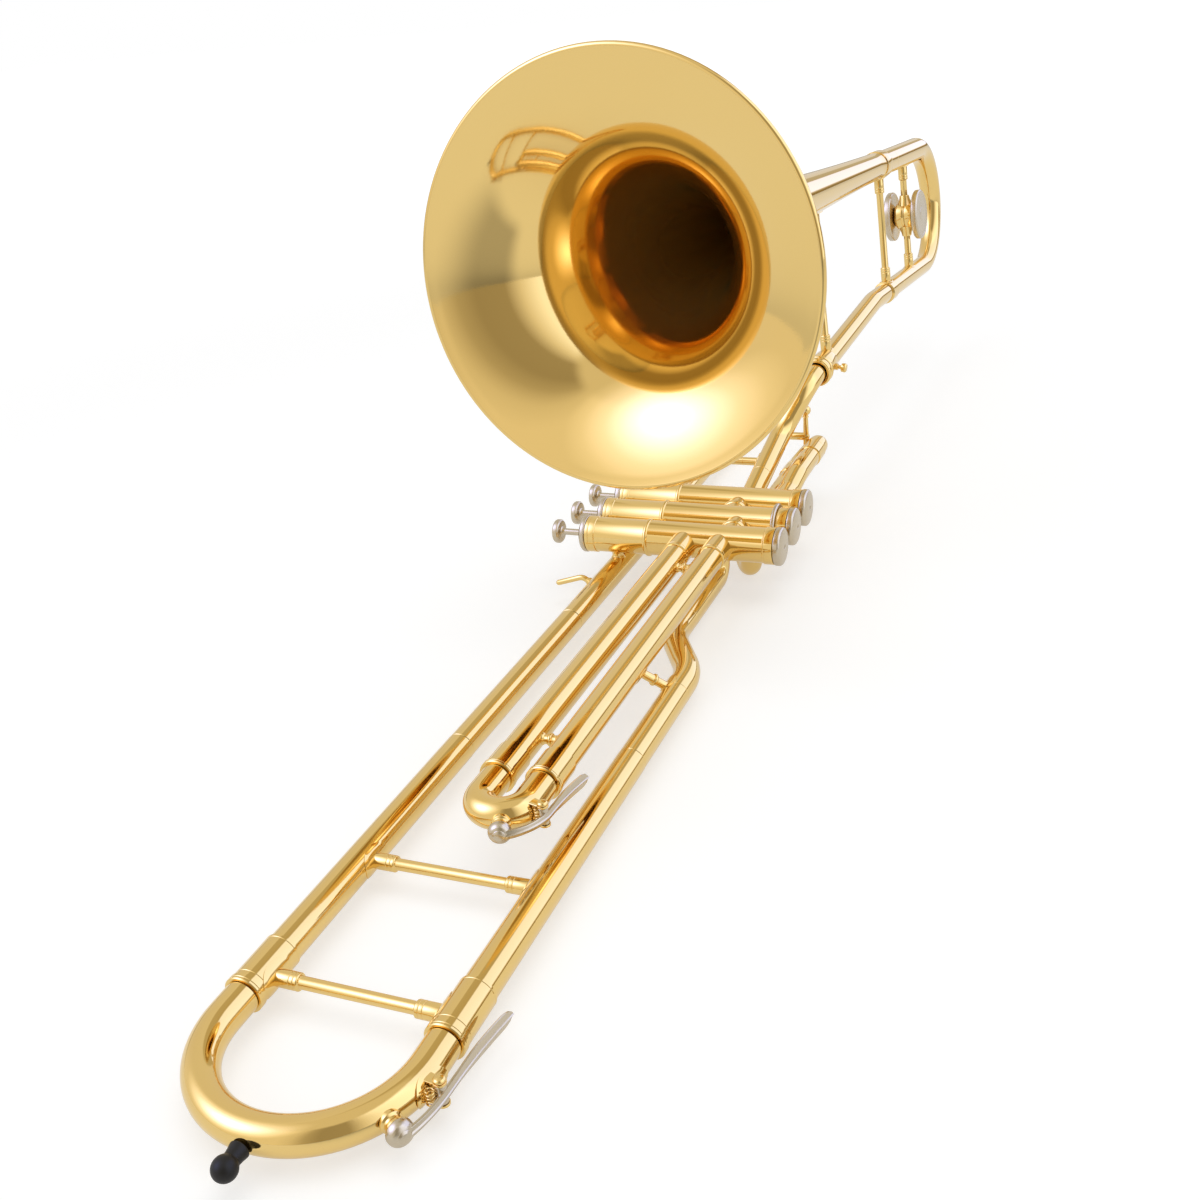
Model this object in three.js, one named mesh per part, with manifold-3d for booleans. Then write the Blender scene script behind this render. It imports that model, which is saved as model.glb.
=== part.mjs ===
// A three-valve trombone: bell section, valve cluster, three valve slides, front and rear bows.
// +X runs out of the bell, +Z is up, the finger buttons face -Y. Lengths are millimetres.
import * as THREE from 'three';
import { mergeVertices } from 'three/addons/utils/BufferGeometryUtils.js';
import Module from 'manifold-3d';

const wasm = await Module();
wasm.setup();

// Fits between pieces
const seatGap = 0.3;
const weldReach = 0.001;
const cutOverrun = 4;

// Bell, measured along its own axis from the mouth
const bellMouthRadius = 102;
const bellWall = 0.8;
const bellBeadRadius = 1.9;
const bellRimAngles = [-110, -40, 40, 110, 165];
const bellLength = 484;
const bellStemRadius = 9.76;
const bellFlareShift = 25.4;
const bellYawAngle = THREE.MathUtils.degToRad(-3.1);
const bellPitchAngle = THREE.MathUtils.degToRad(3.4);
const bellLeanAngle = THREE.MathUtils.degToRad(5);

// Rear bow, neck and socket
const stemFerruleRadius = 10.5;
const stemFerruleLength = 14;
const stemLegRadius = 8.4;
const rearBowStemRadius = 9.2;
const rearBowNeckRadius = 7.3;
const rearBowStraight = 111;
const rearBowLegLength = 40;
const neckOffset = 94;
const neckRadius = 7.2;
const neckWall = 0.7;
const neckStraight = 48;
const neckBendRadius = 90;
const neckFrontStation = 292;
const neckFrontOffset = 112;
const neckFerruleRadius = 8.3;
const neckFerruleLength = 14;
const socketRadius = 8.7;
const socketBeadRadius = 9.9;
const socketLength = 24;
const socketLapShare = 0.75;
const socketThroatShare = 0.5;
const socketBeadShare = 0.85;
const socketBeadWidth = 6;
const rearBraceInset = 6;
const bowBraceInset = 43;
const bellBraceLead = 20;
const weightRadius = 19;
const weightThickness = 5;
const weightHubRadius = 10;
const weightHubLength = 16;

// Slide tubes
const tubeWall = 0.6;
const slideLegRadius = 6.3;
const railRadius = 7.2;
const mouthpipeClearance = 2.7;
const leadRailSide = -59;
const returnRailSide = 26.4;
const frontSleeveRadius = 7.9;
const frontSleeveBeadRadius = 8.3;
const frontSleeveBeadWidth = 3.2;
const frontSleeveRear = 250;
const frontSleeveFront = 276.6;
const frontBowStart = 288;
const frontBraceStation = 264;
const middleBraceStation = 189.3;
const slideLegLength = 75;

// Mouthpipe and finger hook
const mouthpipeRear = -372;
const mouthpipeRadius = 7.05;
const mouthpipeRearRadius = 6.2;
const mouthpipeFront = -37.4;
const leadRailJoint = 98.2;
const receiverLength = 62;
const receiverRadius = 8.4;
const receiverRimRadius = 9.6;
const receiverRimLength = 6;
const receiverSocketRadius = 5.6;
const receiverTaperShare = 0.7;
const hookWireRadius = 1.7;
const hookStation = -84;
const hookRootRise = 0.6;
const hookArchRise = 4.9;
const hookArchReach = 11.5;
const hookReach = 29;
const hookBendRadius = 5;

// Braces
const braceRodRadius = 3;
const braceSocketRadius = 4.1;
const braceSocketLength = 10;
const shortBraceRadius = 2.3;
const shortBraceBeadRadius = 3.2;

// Return rail's bend to the third valve
const returnRailJoint = 91;
const sBendStart = 6;
const sBendEnd = -31;
const sBendSide = 4.5;
const sBendRadius = 42;
const elbowRadius = 9.2;
const sBendBraceRear = 40;
const sBendBraceFront = 26;

// Valves: each axis runs along Y
const valveDrop = 181.1;
const thirdValveStation = -113.4;
const valvePitch = 29.6;
const casingRadius = 10.45;
const casingWall = 0.8;
const casingTop = -75.5;
const casingBottom = 40.5;
const casingCollarRadius = 10.95;
const casingCollarLength = 6;
const casingBeadRadius = 11.35;
const casingBeadStation = -37;
const casingBeadWidth = 2.6;
const capRadius = 11.3;
const capThickness = 3.6;
const bottomCapThickness = 5;
const bottomCollarLength = 6;
const topSkirtLength = 4;
const bottomSkirtLength = 2;
const pistonBottom = 21.6;
const passageRadius = 4.2;
const portRadius = 4.7;
const valveTravel = 14.5;
const stemRadius = 2;
const stemFootFlare = 1.2;
const stemFootLength = 2;
const buttonRadius = 7.3;
const buttonThickness = 4.2;
const springWireRadius = 0.55;
const springRadius = 6.2;
const springTurns = 6;
const springStepsPerTurn = 7;
const springWireSegments = 2;
const springPocketDepth = 3;
const knuckleRadius = 7.6;
const knuckleBeadRadius = 8.4;
const knuckleBeadWidth = 4.4;
const thirdKnucklePlace = 10.5;
const firstKnucklePlace = 2.5;
const valveRingRadius = 13.3;
const valveRingWidth = 2.6;

// Third valve slide
const thirdSlideRadius = 7.4;
const thirdLeftPlace = -13.6;
const thirdRightPlace = 8.3;
const thirdFerruleRadius = 8.1;
const thirdFerruleLength = 13;
const thirdSleeveRear = 128;
const thirdSleeveFront = 146;
const thirdSleeveRadius = 8;
const thirdSleeveBeadRadius = 8.4;
const thirdSleeveBeadWidth = 3;
const thirdBowStart = 160;
const thirdInnerLength = 110;
const thirdFrontBraceStation = 112;
const thirdRearBraceStation = -75;

// Second valve slide
const secondSlideRadius = 6.6;
const secondSlidePlace = 14;
const secondLegSpread = 18;
const secondLegTurn = THREE.MathUtils.degToRad(30);
const secondStubDrop = 17;
const secondInnerLength = 5;

// First valve slide
const firstSlideRadius = 6.6;
const firstUpperPlace = 29.2;
const firstUpperRise = 8.4;
const firstUpperPortPlace = 27.7;
const firstUpperPortRise = 3.5;
const firstLowerPlace = 15;
const firstLowerRise = -7.3;
const firstBendFront = -190;
const firstBendRear = -205;
const firstBendRadius = 16;
const firstSleeveFront = -238;
const firstSleeveRear = -253;
const firstSleeveRadius = 7.2;
const firstBowStart = -258;
const firstInnerLength = 32;
const pullPostRadius = 2;
const pullPostLength = 32;
const pullPostShare = 0.7;
const pullBallRadius = 3.6;
const pullArmRadius = 2.6;
const pullArmRise = 13.7;
const pullArmLength = 20;

// Gooseneck
const goosePlace = 6;
const gooseBendStation = -246;
const gooseBendPlace = 8.5;
const gooseBendRise = 21;
const gooseRadius = 6.8;
const gooseCurveRadius = 26;
const gooseLead = 22;
const gooseBraceStation = -215;
const gooseBraceBend = 22;

// Water keys
const nippleRadius = 3.2;
const nippleBore = 1.6;
const nippleLength = 4.2;
const keyCupRadius = 5;
const keyCupDepth = 4.8;
const keyCupShares = [[0.86, 0], [1, 0.14], [0.97, 0.45], [0.78, 0.75], [0.45, 0.94]];
const keyArmThickness = 1.6;
const keyArmHeight = 4;
const keyArmSeatShare = 0.8;
const keyArmShares = [0, 1 / 3, 2 / 3, 1];
const keySpoonShare = 0.62;
const keySpoonHeight = 6.6;
const keySpoonThickness = 2.3;
const keyBarrelRadius = 2.2;
const keyBarrelLength = 5;
const keyEarThickness = 1.4;
const keyPinRadius = 1;
const keyPinHeadRadius = 2.1;
const keyPinCrownShare = 0.6;
const keyPinHeadShare = 0.7;
const keyStandOff = 3.6;
const keyTipRise = 5;
const frontKeySweep = THREE.MathUtils.degToRad(59);
const frontPivotSweep = THREE.MathUtils.degToRad(80);
const thirdKeySweep = THREE.MathUtils.degToRad(20);
const thirdPivotSweep = THREE.MathUtils.degToRad(72);
const frontKeyReach = 41;
const thirdKeyReach = 31;

// Bumper on the front bow
const bumperFootRadius = 3.8;
const bumperNeckRadius = 3.2;
const bumperBallRadius = 4.6;
const bumperLength = 13.4;
const bumperBallAngles = [-46, -20, 10, 40, 68];

// Facets
const roundSides = 12;
const valveSides = 14;
const smallSides = 8;
const saddleSides = 16;
const passageSides = 6;
const legSides = 10;
const boreSides = 8;
const bellSides = 32;
const weightSides = 24;
const bendFacetAngle = THREE.MathUtils.degToRad(20);
const bendFacetsLeast = 2;

// Finishes
const brass = { color: 0xd6a645, roughness: 0.16, metalness: 1 };
const nickel = { color: 0xc8c4bd, roughness: 0.22, metalness: 1 };
const steel = { color: 0xb4b4b4, roughness: 0.35, metalness: 1 };
const rubber = { color: 0x141414, roughness: 0.75, metalness: 0 };

const forward = new THREE.Vector3(1, 0, 0);
const sideways = new THREE.Vector3(0, 1, 0);
const upward = new THREE.Vector3(0, 0, 1);
const backward = forward.clone().negate();
const downward = upward.clone().negate();

const vec = (x, y, z) => new THREE.Vector3(x, y, z);

// A closed geometry as a solid that can be joined and cut
function solid(geometry) {
  const bare = geometry.clone();
  bare.deleteAttribute('normal');
  bare.deleteAttribute('uv');
  const welded = mergeVertices(bare, weldReach);
  const faces = [];
  for (let i = 0; i < welded.index.count; i += 3) {
    const [a, b, c] = [0, 1, 2].map((k) => welded.index.getX(i + k));
    if (a !== b && b !== c && c !== a) faces.push(a, b, c);
  }
  return new wasm.Manifold(new wasm.Mesh({
    numProp: 3,
    vertProperties: new Float32Array(welded.attributes.position.array),
    triVerts: new Uint32Array(faces),
  }));
}

function geometryOf(body) {
  const result = body.getMesh();
  const geometry = new THREE.BufferGeometry();
  geometry.setAttribute('position', new THREE.BufferAttribute(result.vertProperties, 3));
  geometry.setIndex(new THREE.BufferAttribute(result.triVerts, 1));
  geometry.computeVertexNormals();
  return geometry;
}

function piece(name, shape, finish) {
  const geometry = shape.isBufferGeometry ? shape : geometryOf(shape);
  const mesh = new THREE.Mesh(geometry, new THREE.MeshStandardMaterial(finish));
  mesh.name = name;
  return mesh;
}

const joined = (...geometries) => geometries.map(solid).reduce((sum, next) => sum.add(next));

function cut(body, ...tools) {
  return tools.reduce((left, tool) => left.subtract(tool), body);
}

// A turned shape: [radius, distance] pairs around the line from origin along direction
function turned(profile, origin, direction, sides = roundSides) {
  const points = profile.map(([radius, distance]) => new THREE.Vector2(radius, distance));
  const ring = points[0].x > 0;
  if (ring) points.push(points[0].clone());
  if (THREE.ShapeUtils.area(points) < 0) points.reverse();
  const geometry = new THREE.LatheGeometry(points, sides);
  const turn = new THREE.Quaternion().setFromUnitVectors(sideways, direction.clone().normalize());
  geometry.applyQuaternion(turn);
  geometry.translate(origin.x, origin.y, origin.z);
  return geometry;
}

const rod = (origin, direction, radius, length, sides = smallSides) =>
  turned([[0, 0], [radius, 0], [radius, length], [0, length]], origin, direction, sides);

const ball = (centre, radius, sides = smallSides) =>
  new THREE.SphereGeometry(radius, sides, sides / 2).translate(centre.x, centre.y, centre.z);

// A straight open tube, given as [outer radius, distance] stations along its outside
function tube(stations, bore, origin, direction, sides = roundSides) {
  const last = stations[stations.length - 1][1];
  const first = stations[0][1];
  return turned([...stations, [bore, last], [bore, first]], origin, direction, sides);
}

// A raised ring on a tube's outside, as three stations
const bead = (radius, tubeRadius, centre, width) => [
  [tubeRadius, centre - width / 2],
  [radius, centre - width / 4],
  [radius, centre + width / 4],
  [tubeRadius, centre + width / 2],
];

// A route of straight runs and round bends, sampled only where it bends
class BentRoute extends THREE.Curve {
  constructor(corners, bendRadii) {
    super();
    this.places = [corners[0].clone()];
    this.headings = [corners[1].clone().sub(corners[0]).normalize()];
    for (let i = 1; i < corners.length - 1; i += 1) {
      this.addBend(corners[i - 1], corners[i], corners[i + 1], bendRadii[i - 1]);
    }
    const end = corners[corners.length - 1];
    if (end.distanceTo(this.places[this.steps]) > weldReach) {
      this.places.push(end.clone());
      this.headings.push(end.clone().sub(corners[corners.length - 2]).normalize());
    }
  }

  addBend(before, corner, after, radius) {
    const arriving = corner.clone().sub(before).normalize();
    const leaving = after.clone().sub(corner).normalize();
    const angle = arriving.angleTo(leaving);
    const inward = leaving.clone().addScaledVector(arriving, -leaving.dot(arriving)).normalize();
    const start = corner.clone().addScaledVector(arriving, -radius * Math.tan(angle / 2));
    const centre = start.clone().addScaledVector(inward, radius);
    const steps = Math.max(bendFacetsLeast, Math.round(angle / bendFacetAngle));
    for (let k = 0; k <= steps; k += 1) {
      const sweep = (angle * k) / steps;
      const place = centre.clone()
        .addScaledVector(inward, -radius * Math.cos(sweep))
        .addScaledVector(arriving, radius * Math.sin(sweep));
      if (place.distanceTo(this.places[this.steps]) > weldReach) {
        this.places.push(place);
        const heading = arriving.clone().multiplyScalar(Math.cos(sweep));
        this.headings.push(heading.addScaledVector(inward, Math.sin(sweep)));
      }
    }
  }

  get steps() {
    return this.places.length - 1;
  }

  getPointAt(share, target = new THREE.Vector3()) {
    return target.copy(this.places[Math.round(share * this.steps)]);
  }

  getPoint(share, target) {
    return this.getPointAt(share, target);
  }

  getTangentAt(share, target = new THREE.Vector3()) {
    return target.copy(this.headings[Math.round(share * this.steps)]);
  }

  getSpacedPoints() {
    return this.places;
  }
}

const circle = (radius, sides) => Array.from({ length: sides }, (_, k) => new THREE.Vector2(
  radius * Math.cos((2 * Math.PI * k) / sides), radius * Math.sin((2 * Math.PI * k) / sides),
));

// A bent open tube, or a bent rod where there is no bore
function bentTube(route, radius, bore = 0, sides = roundSides, insideSides = boreSides) {
  const section = new THREE.Shape(circle(radius, sides));
  if (bore > 0) section.holes.push(new THREE.Path(circle(bore, insideSides)));
  return new THREE.ExtrudeGeometry(section, { steps: route.steps, extrudePath: route });
}

// A bent open tube with straight ends, whose radius changes evenly between them
function taperedTube(route, startRadius, endRadius, wall, sides = roundSides) {
  const frames = route.computeFrenetFrames(route.steps);
  const travelled = [0];
  route.places.slice(1).forEach((place, i) => {
    travelled.push(travelled[i] + place.distanceTo(route.places[i]));
  });
  const positions = [];
  route.places.forEach((place, i) => {
    const radius = THREE.MathUtils.mapLinear(
      THREE.MathUtils.clamp(travelled[i], travelled[1], travelled[route.steps - 1]),
      travelled[1], travelled[route.steps - 1], startRadius, endRadius,
    );
    [radius, radius - wall].forEach((r) => {
      for (let k = 0; k < sides; k += 1) {
        const angle = (2 * Math.PI * k) / sides;
        const spot = place.clone()
          .addScaledVector(frames.normals[i], r * Math.cos(angle))
          .addScaledVector(frames.binormals[i], r * Math.sin(angle));
        positions.push(spot.x, spot.y, spot.z);
      }
    });
  });
  const at = (step, inner, k) => (step * 2 + inner) * sides + (k % sides);
  const faces = [];
  const quad = (a, b, c, d) => faces.push(a, b, c, a, c, d);
  for (let k = 0; k < sides; k += 1) {
    for (let i = 0; i < route.steps; i += 1) {
      quad(at(i, 0, k), at(i, 0, k + 1), at(i + 1, 0, k + 1), at(i + 1, 0, k));
      quad(at(i, 1, k), at(i + 1, 1, k), at(i + 1, 1, k + 1), at(i, 1, k + 1));
    }
    quad(at(0, 0, k), at(0, 1, k), at(0, 1, k + 1), at(0, 0, k + 1));
    quad(at(route.steps, 0, k), at(route.steps, 0, k + 1), at(route.steps, 1, k + 1), at(route.steps, 1, k));
  }
  const geometry = new THREE.BufferGeometry();
  geometry.setAttribute('position', new THREE.Float32BufferAttribute(positions, 3));
  geometry.setIndex(faces);
  geometry.computeVertexNormals();
  return geometry;
}

// The space a straight tube needs: what a neighbour's end loses where it meets the tube
const tubeSpace = (centre, direction, radius) => solid(rod(
  centre.clone().addScaledVector(direction, -2 * radius), direction,
  radius + seatGap, 4 * radius, saddleSides,
));

// A brace between two tubes: a rod with a socket at each end, shaped to what it meets
function brace(from, to, fromSpace, toSpace, radii = [braceSocketRadius, braceRodRadius]) {
  const [socketRadius, rodRadius] = radii;
  const direction = to.clone().sub(from).normalize();
  const length = from.distanceTo(to);
  const step = socketRadius - rodRadius;
  const socket = Math.min(2 * braceSocketLength, length / 3);
  return cut(solid(turned([
    [0, 0], [socketRadius, 0], [socketRadius, socket], [rodRadius, socket + step],
    [rodRadius, length - socket - step], [socketRadius, length - socket],
    [socketRadius, length], [0, length],
  ], from, direction, smallSides)), fromSpace, toSpace);
}

// A short brace with one bead at its middle
function shortBrace(from, to, fromSpace, toSpace) {
  const direction = to.clone().sub(from).normalize();
  const length = from.distanceTo(to);
  return cut(solid(turned([
    [0, 0], [shortBraceRadius, 0],
    ...bead(shortBraceBeadRadius, shortBraceRadius, length / 2, 2 * shortBraceRadius),
    [shortBraceRadius, length], [0, length],
  ], from, direction, smallSides)), fromSpace, toSpace);
}

const valveStation = (number) => thirdValveStation - (3 - number) * valvePitch;
const valveHeight = -valveDrop;
const railHeight = valveHeight - casingRadius - mouthpipeClearance - mouthpipeRadius;

// What a tube's end loses where it meets the valve casing of the given number
const casingSaddle = (number) => solid(rod(
  vec(valveStation(number), casingTop - cutOverrun, valveHeight),
  sideways, casingRadius + seatGap, casingBottom - casingTop + 2 * cutOverrun, saddleSides,
));

// Ports of the three valves: place along the casing, and direction around it from +X towards +Z.
// Where the tube doesn't leave square to the casing, heading is the tube's own direction.
const downAngle = -Math.PI / 2;
const angleOfRise = (rise) => Math.PI - Math.asin(rise / casingRadius);
const secondSpreadAngle = Math.asin((secondLegSpread / 2) * Math.cos(secondLegTurn) / casingRadius);
const secondPlaceShift = (secondLegSpread / 2) * Math.sin(secondLegTurn);
const gooseSlope = Math.atan2(gooseBendRise, valveStation(1) - gooseBendStation);
const ports = {
  3: {
    enter: { place: sBendSide, angle: downAngle },
    leave: { place: thirdKnucklePlace, angle: Math.PI },
    loopOut: { place: thirdRightPlace, angle: 0 },
    loopBack: { place: thirdLeftPlace, angle: 0 },
  },
  2: {
    enter: { place: thirdKnucklePlace, angle: 0 },
    leave: { place: firstKnucklePlace, angle: Math.PI },
    loopOut: {
      place: secondSlidePlace + secondPlaceShift, angle: downAngle + secondSpreadAngle, heading: downAngle,
    },
    loopBack: {
      place: secondSlidePlace - secondPlaceShift, angle: downAngle - secondSpreadAngle, heading: downAngle,
    },
  },
  1: {
    enter: { place: firstKnucklePlace, angle: 0 },
    leave: { place: goosePlace, angle: Math.PI - gooseSlope },
    loopOut: { place: firstUpperPortPlace, angle: angleOfRise(firstUpperPortRise), heading: Math.PI },
    loopBack: { place: firstLowerPlace, angle: angleOfRise(firstLowerRise), heading: Math.PI },
  },
};

const around = (angle) => vec(Math.cos(angle), 0, Math.sin(angle));

// A port's hole through the casing wall, in the valve's own frame
function portHole({ place, angle, heading = angle }) {
  const start = vec(0, place, 0).addScaledVector(around(angle), casingRadius)
    .addScaledVector(around(heading), -2 * casingWall);
  return solid(rod(start, around(heading), portRadius, casingWall * 2 + cutOverrun));
}

// An air passage through the piston between two ports
function passage(from, to, shift) {
  const middle = vec(0, (from.place + to.place) / 2 + shift, 0)
    .addScaledVector(around(from.angle).add(around(to.angle)), casingRadius / 3);
  const bores = [from, to].map((port) => {
    const mouth = vec(0, port.place + shift, 0).addScaledVector(around(port.angle), casingRadius);
    return rod(middle, mouth.clone().sub(middle), passageRadius, mouth.distanceTo(middle), passageSides);
  });
  return joined(...bores, ball(middle, passageRadius, passageSides));
}

function valve(number, label) {
  const group = new THREE.Group();
  group.position.set(valveStation(number), 0, valveHeight);
  const own = ports[number];
  const at = (place) => vec(0, place, 0);
  const bore = casingRadius - casingWall;
  const beadStations = bead(casingBeadRadius, casingRadius, casingBeadStation, casingBeadWidth);
  const casing = cut(solid(tube([
    [casingCollarRadius, casingTop], [casingCollarRadius, casingTop + casingCollarLength],
    [casingRadius, casingTop + casingCollarLength],
    ...beadStations,
    [casingRadius, casingBottom - bottomCollarLength],
    [casingCollarRadius, casingBottom - bottomCollarLength], [casingCollarRadius, casingBottom],
  ], bore, at(0), sideways, valveSides)), ...Object.values(own).map(portHole));
  group.add(piece(`${label}_valve_casing`, casing, brass));

  const capTop = casingTop - seatGap - capThickness;
  const skirt = bore - seatGap;
  const stemHole = stemRadius + seatGap;
  const stemFoot = stemRadius + stemFootFlare;
  group.add(piece(`${label}_top_cap`, turned([
    [stemHole, capTop + stemFootLength], [stemFoot + seatGap, capTop], [capRadius - capThickness / 4, capTop],
    [capRadius, capTop + capThickness / 4],
    [capRadius, capTop + capThickness], [skirt, capTop + capThickness],
    [skirt, casingTop + topSkirtLength], [skirt - casingWall * 2, casingTop + topSkirtLength],
    [skirt - casingWall * 2, casingTop], [stemHole, casingTop],
  ], at(0), sideways, valveSides), nickel));

  const capBottom = casingBottom + seatGap + bottomCapThickness;
  group.add(piece(`${label}_bottom_cap`, turned([
    [0, capBottom], [capRadius - capThickness / 4, capBottom], [capRadius, capBottom - capThickness / 4],
    [capRadius, casingBottom + seatGap], [skirt, casingBottom + seatGap],
    [skirt, casingBottom - bottomSkirtLength], [skirt - casingWall * 2, casingBottom - bottomSkirtLength],
    [skirt - casingWall * 2, capBottom - capThickness / 2], [0, capBottom - capThickness / 2],
  ], at(0), sideways, valveSides), nickel));

  const pistonRadius = bore - seatGap;
  const pistonTop = casingTop + topSkirtLength + seatGap;
  const pocket = springRadius + springWireRadius + seatGap;
  const blank = solid(turned([
    [0, pistonTop], [pistonRadius - casingWall, pistonTop], [pistonRadius, pistonTop + casingWall],
    [pistonRadius, pistonBottom], [pocket, pistonBottom], [pocket, pistonBottom - springPocketDepth],
    [0, pistonBottom - springPocketDepth],
  ], at(0), sideways, valveSides));
  const piston = cut(blank, passage(own.enter, own.leave, 0),
    passage(own.enter, own.loopOut, -valveTravel), passage(own.loopBack, own.leave, -valveTravel));
  group.add(piece(`${label}_piston`, piston, nickel));

  const springStart = pistonBottom - springPocketDepth + seatGap;
  const springEnd = capBottom - capThickness / 2 - seatGap;
  group.add(piece(`${label}_valve_spring`, coil(springStart, springEnd), steel));

  const buttonInner = capTop - valveTravel - seatGap * 2;
  const buttonOuter = buttonInner - buttonThickness;
  const rounding = buttonThickness / 4;
  group.add(piece(`${label}_finger_button`, turned([
    [0, buttonOuter + rounding], [buttonRadius / 2, buttonOuter + rounding / 2],
    [buttonRadius - rounding, buttonOuter], [buttonRadius, buttonOuter + rounding],
    [buttonRadius, buttonInner - rounding], [buttonRadius - rounding, buttonInner],
    [stemFoot, buttonInner], [stemRadius, buttonInner + stemFootLength],
    [stemRadius, pistonTop - seatGap], [0, pistonTop - seatGap],
  ], at(0), sideways), nickel));
  return group;
}

// A helical spring along Y
function coil(start, end) {
  const run = end - start - 2 * springWireRadius;
  class Helix extends THREE.Curve {
    getPoint(share, target = new THREE.Vector3()) {
      const angle = share * springTurns * 2 * Math.PI;
      const height = start + springWireRadius + run * share;
      return target.set(springRadius * Math.cos(angle), height, springRadius * Math.sin(angle));
    }
  }
  const section = new THREE.Shape().absarc(0, 0, springWireRadius, 0, Math.PI * 2);
  return new THREE.ExtrudeGeometry(section, {
    steps: springTurns * springStepsPerTurn, extrudePath: new Helix(), curveSegments: springWireSegments,
  });
}

// The ring that stands proud of a casing in front of its lower collar
function valveRing(name, number) {
  const front = casingBottom - bottomCollarLength - seatGap;
  const edge = valveRingWidth / 4;
  return piece(name, tube([
    [valveRingRadius - edge, -valveRingWidth], [valveRingRadius, edge - valveRingWidth],
    [valveRingRadius, -edge], [valveRingRadius - edge, 0],
  ], casingRadius + seatGap, vec(valveStation(number), front, valveHeight), sideways, valveSides), nickel);
}

// The short tube between two neighbouring casings
function knuckle(name, rearNumber, place) {
  const start = vec(valveStation(rearNumber), place, valveHeight);
  const stations = [
    [knuckleRadius, 0], ...bead(knuckleBeadRadius, knuckleRadius, valvePitch / 2, knuckleBeadWidth),
    [knuckleRadius, valvePitch],
  ];
  const body = cut(solid(tube(stations, portRadius, start, forward)),
    casingSaddle(rearNumber), casingSaddle(rearNumber + 1));
  return piece(name, body, brass);
}

function thirdSlideTube(name, place) {
  const start = vec(valveStation(3), place, valveHeight);
  const at = (station) => station - valveStation(3);
  const casingFace = casingRadius + thirdFerruleLength;
  const beadCentre = at(thirdSleeveFront) - thirdSleeveBeadWidth / 2;
  const stations = [
    [thirdFerruleRadius, 0], [thirdFerruleRadius, casingFace], [thirdSlideRadius, casingFace],
    [thirdSlideRadius, at(thirdSleeveRear)], [thirdSleeveRadius, at(thirdSleeveRear)],
    ...bead(thirdSleeveBeadRadius, thirdSleeveRadius, beadCentre, thirdSleeveBeadWidth),
  ];
  const bore = slideLegRadius + seatGap;
  const body = cut(solid(tube(stations, bore, start, forward)), casingSaddle(3));
  return piece(name, body, brass);
}

// A bow on two legs that slide in the tubes: from and to are where its round part starts
function slideBow(from, to, away, legGap, legLength, radius) {
  const reach = from.distanceTo(to) / 2;
  const corners = [
    from.clone().addScaledVector(away, -legGap), from.clone().addScaledVector(away, reach),
    to.clone().addScaledVector(away, reach), to.clone().addScaledVector(away, -legGap),
  ];
  const bore = slideLegRadius - tubeWall;
  const legs = [corners[0], corners[3]].map((end) => tube(
    [[slideLegRadius, -cutOverrun], [slideLegRadius, legLength]], bore, end, away.clone().negate(), legSides,
  ));
  const bow = bentTube(new BentRoute(corners, [reach, reach]), radius, slideLegRadius - tubeWall / 2);
  return joined(bow, ...legs);
}

// The nipple, pivot and lever of a water key that lies along the outside of a bow
function keyPlaces(centre, bendRadius, tubeRadius, keySweep, pivotSweep, reach) {
  const out = (sweep, distance) => vec(Math.cos(sweep), Math.sin(sweep), 0)
    .multiplyScalar(distance).add(centre);
  const skin = bendRadius + tubeRadius;
  const pivot = out(pivotSweep, skin + keyStandOff);
  const cupSeat = out(keySweep, skin + nippleLength + seatGap);
  const armStart = skin + nippleLength + seatGap + keyCupDepth * keyArmSeatShare;
  const armEnd = skin + keyStandOff + keyBarrelRadius - keyArmThickness / 4;
  const arc = keyArmShares.map((share) => out(
    THREE.MathUtils.lerp(keySweep, pivotSweep, share), THREE.MathUtils.lerp(armStart, armEnd, share),
  ));
  const spoonLength = reach * keySpoonShare;
  const spoonCentre = vec(pivot.x - reach + spoonLength / 2, pivot.y + keyTipRise, centre.z);
  return { out, skin, pivot, cupSeat, arc, spoonCentre, spoonLength, heading: out(keySweep, 1).sub(centre) };
}

// What the bow carries for its water key: the nipple and the pivot's two ears
function withKeySeat(bow, places, pivotSweep) {
  const { out, skin, heading, pivot } = places;
  const keySweep = Math.atan2(heading.y, heading.x);
  const nipple = rod(out(keySweep, skin - nippleLength / 2), heading, nippleRadius, nippleLength * 1.5);
  const drill = rod(out(keySweep, skin - nippleLength), heading, nippleBore, nippleLength * 3, smallSides);
  const earReach = keyStandOff + keyPinHeadRadius + nippleLength / 2;
  const ears = [1, -1].map((side) => {
    const height = side * (keyBarrelLength / 2 + seatGap + keyEarThickness / 2);
    const ear = new THREE.BoxGeometry(earReach, keyPinHeadRadius * 2, keyEarThickness);
    ear.translate(earReach / 2 + skin - nippleLength / 2, 0, height);
    ear.rotateZ(pivotSweep);
    return ear;
  });
  const centre = out(0, 0);
  ears.forEach((ear) => ear.translate(centre.x, centre.y, centre.z));
  const pinHole = rod(vec(pivot.x, pivot.y, pivot.z - keyBarrelLength * 2), upward,
    keyPinRadius + seatGap, keyBarrelLength * 4);
  const whole = [nipple, ...ears].map(solid).reduce((sum, next) => sum.add(next), bow);
  return cut(whole, solid(drill), solid(pinHole));
}

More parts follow.
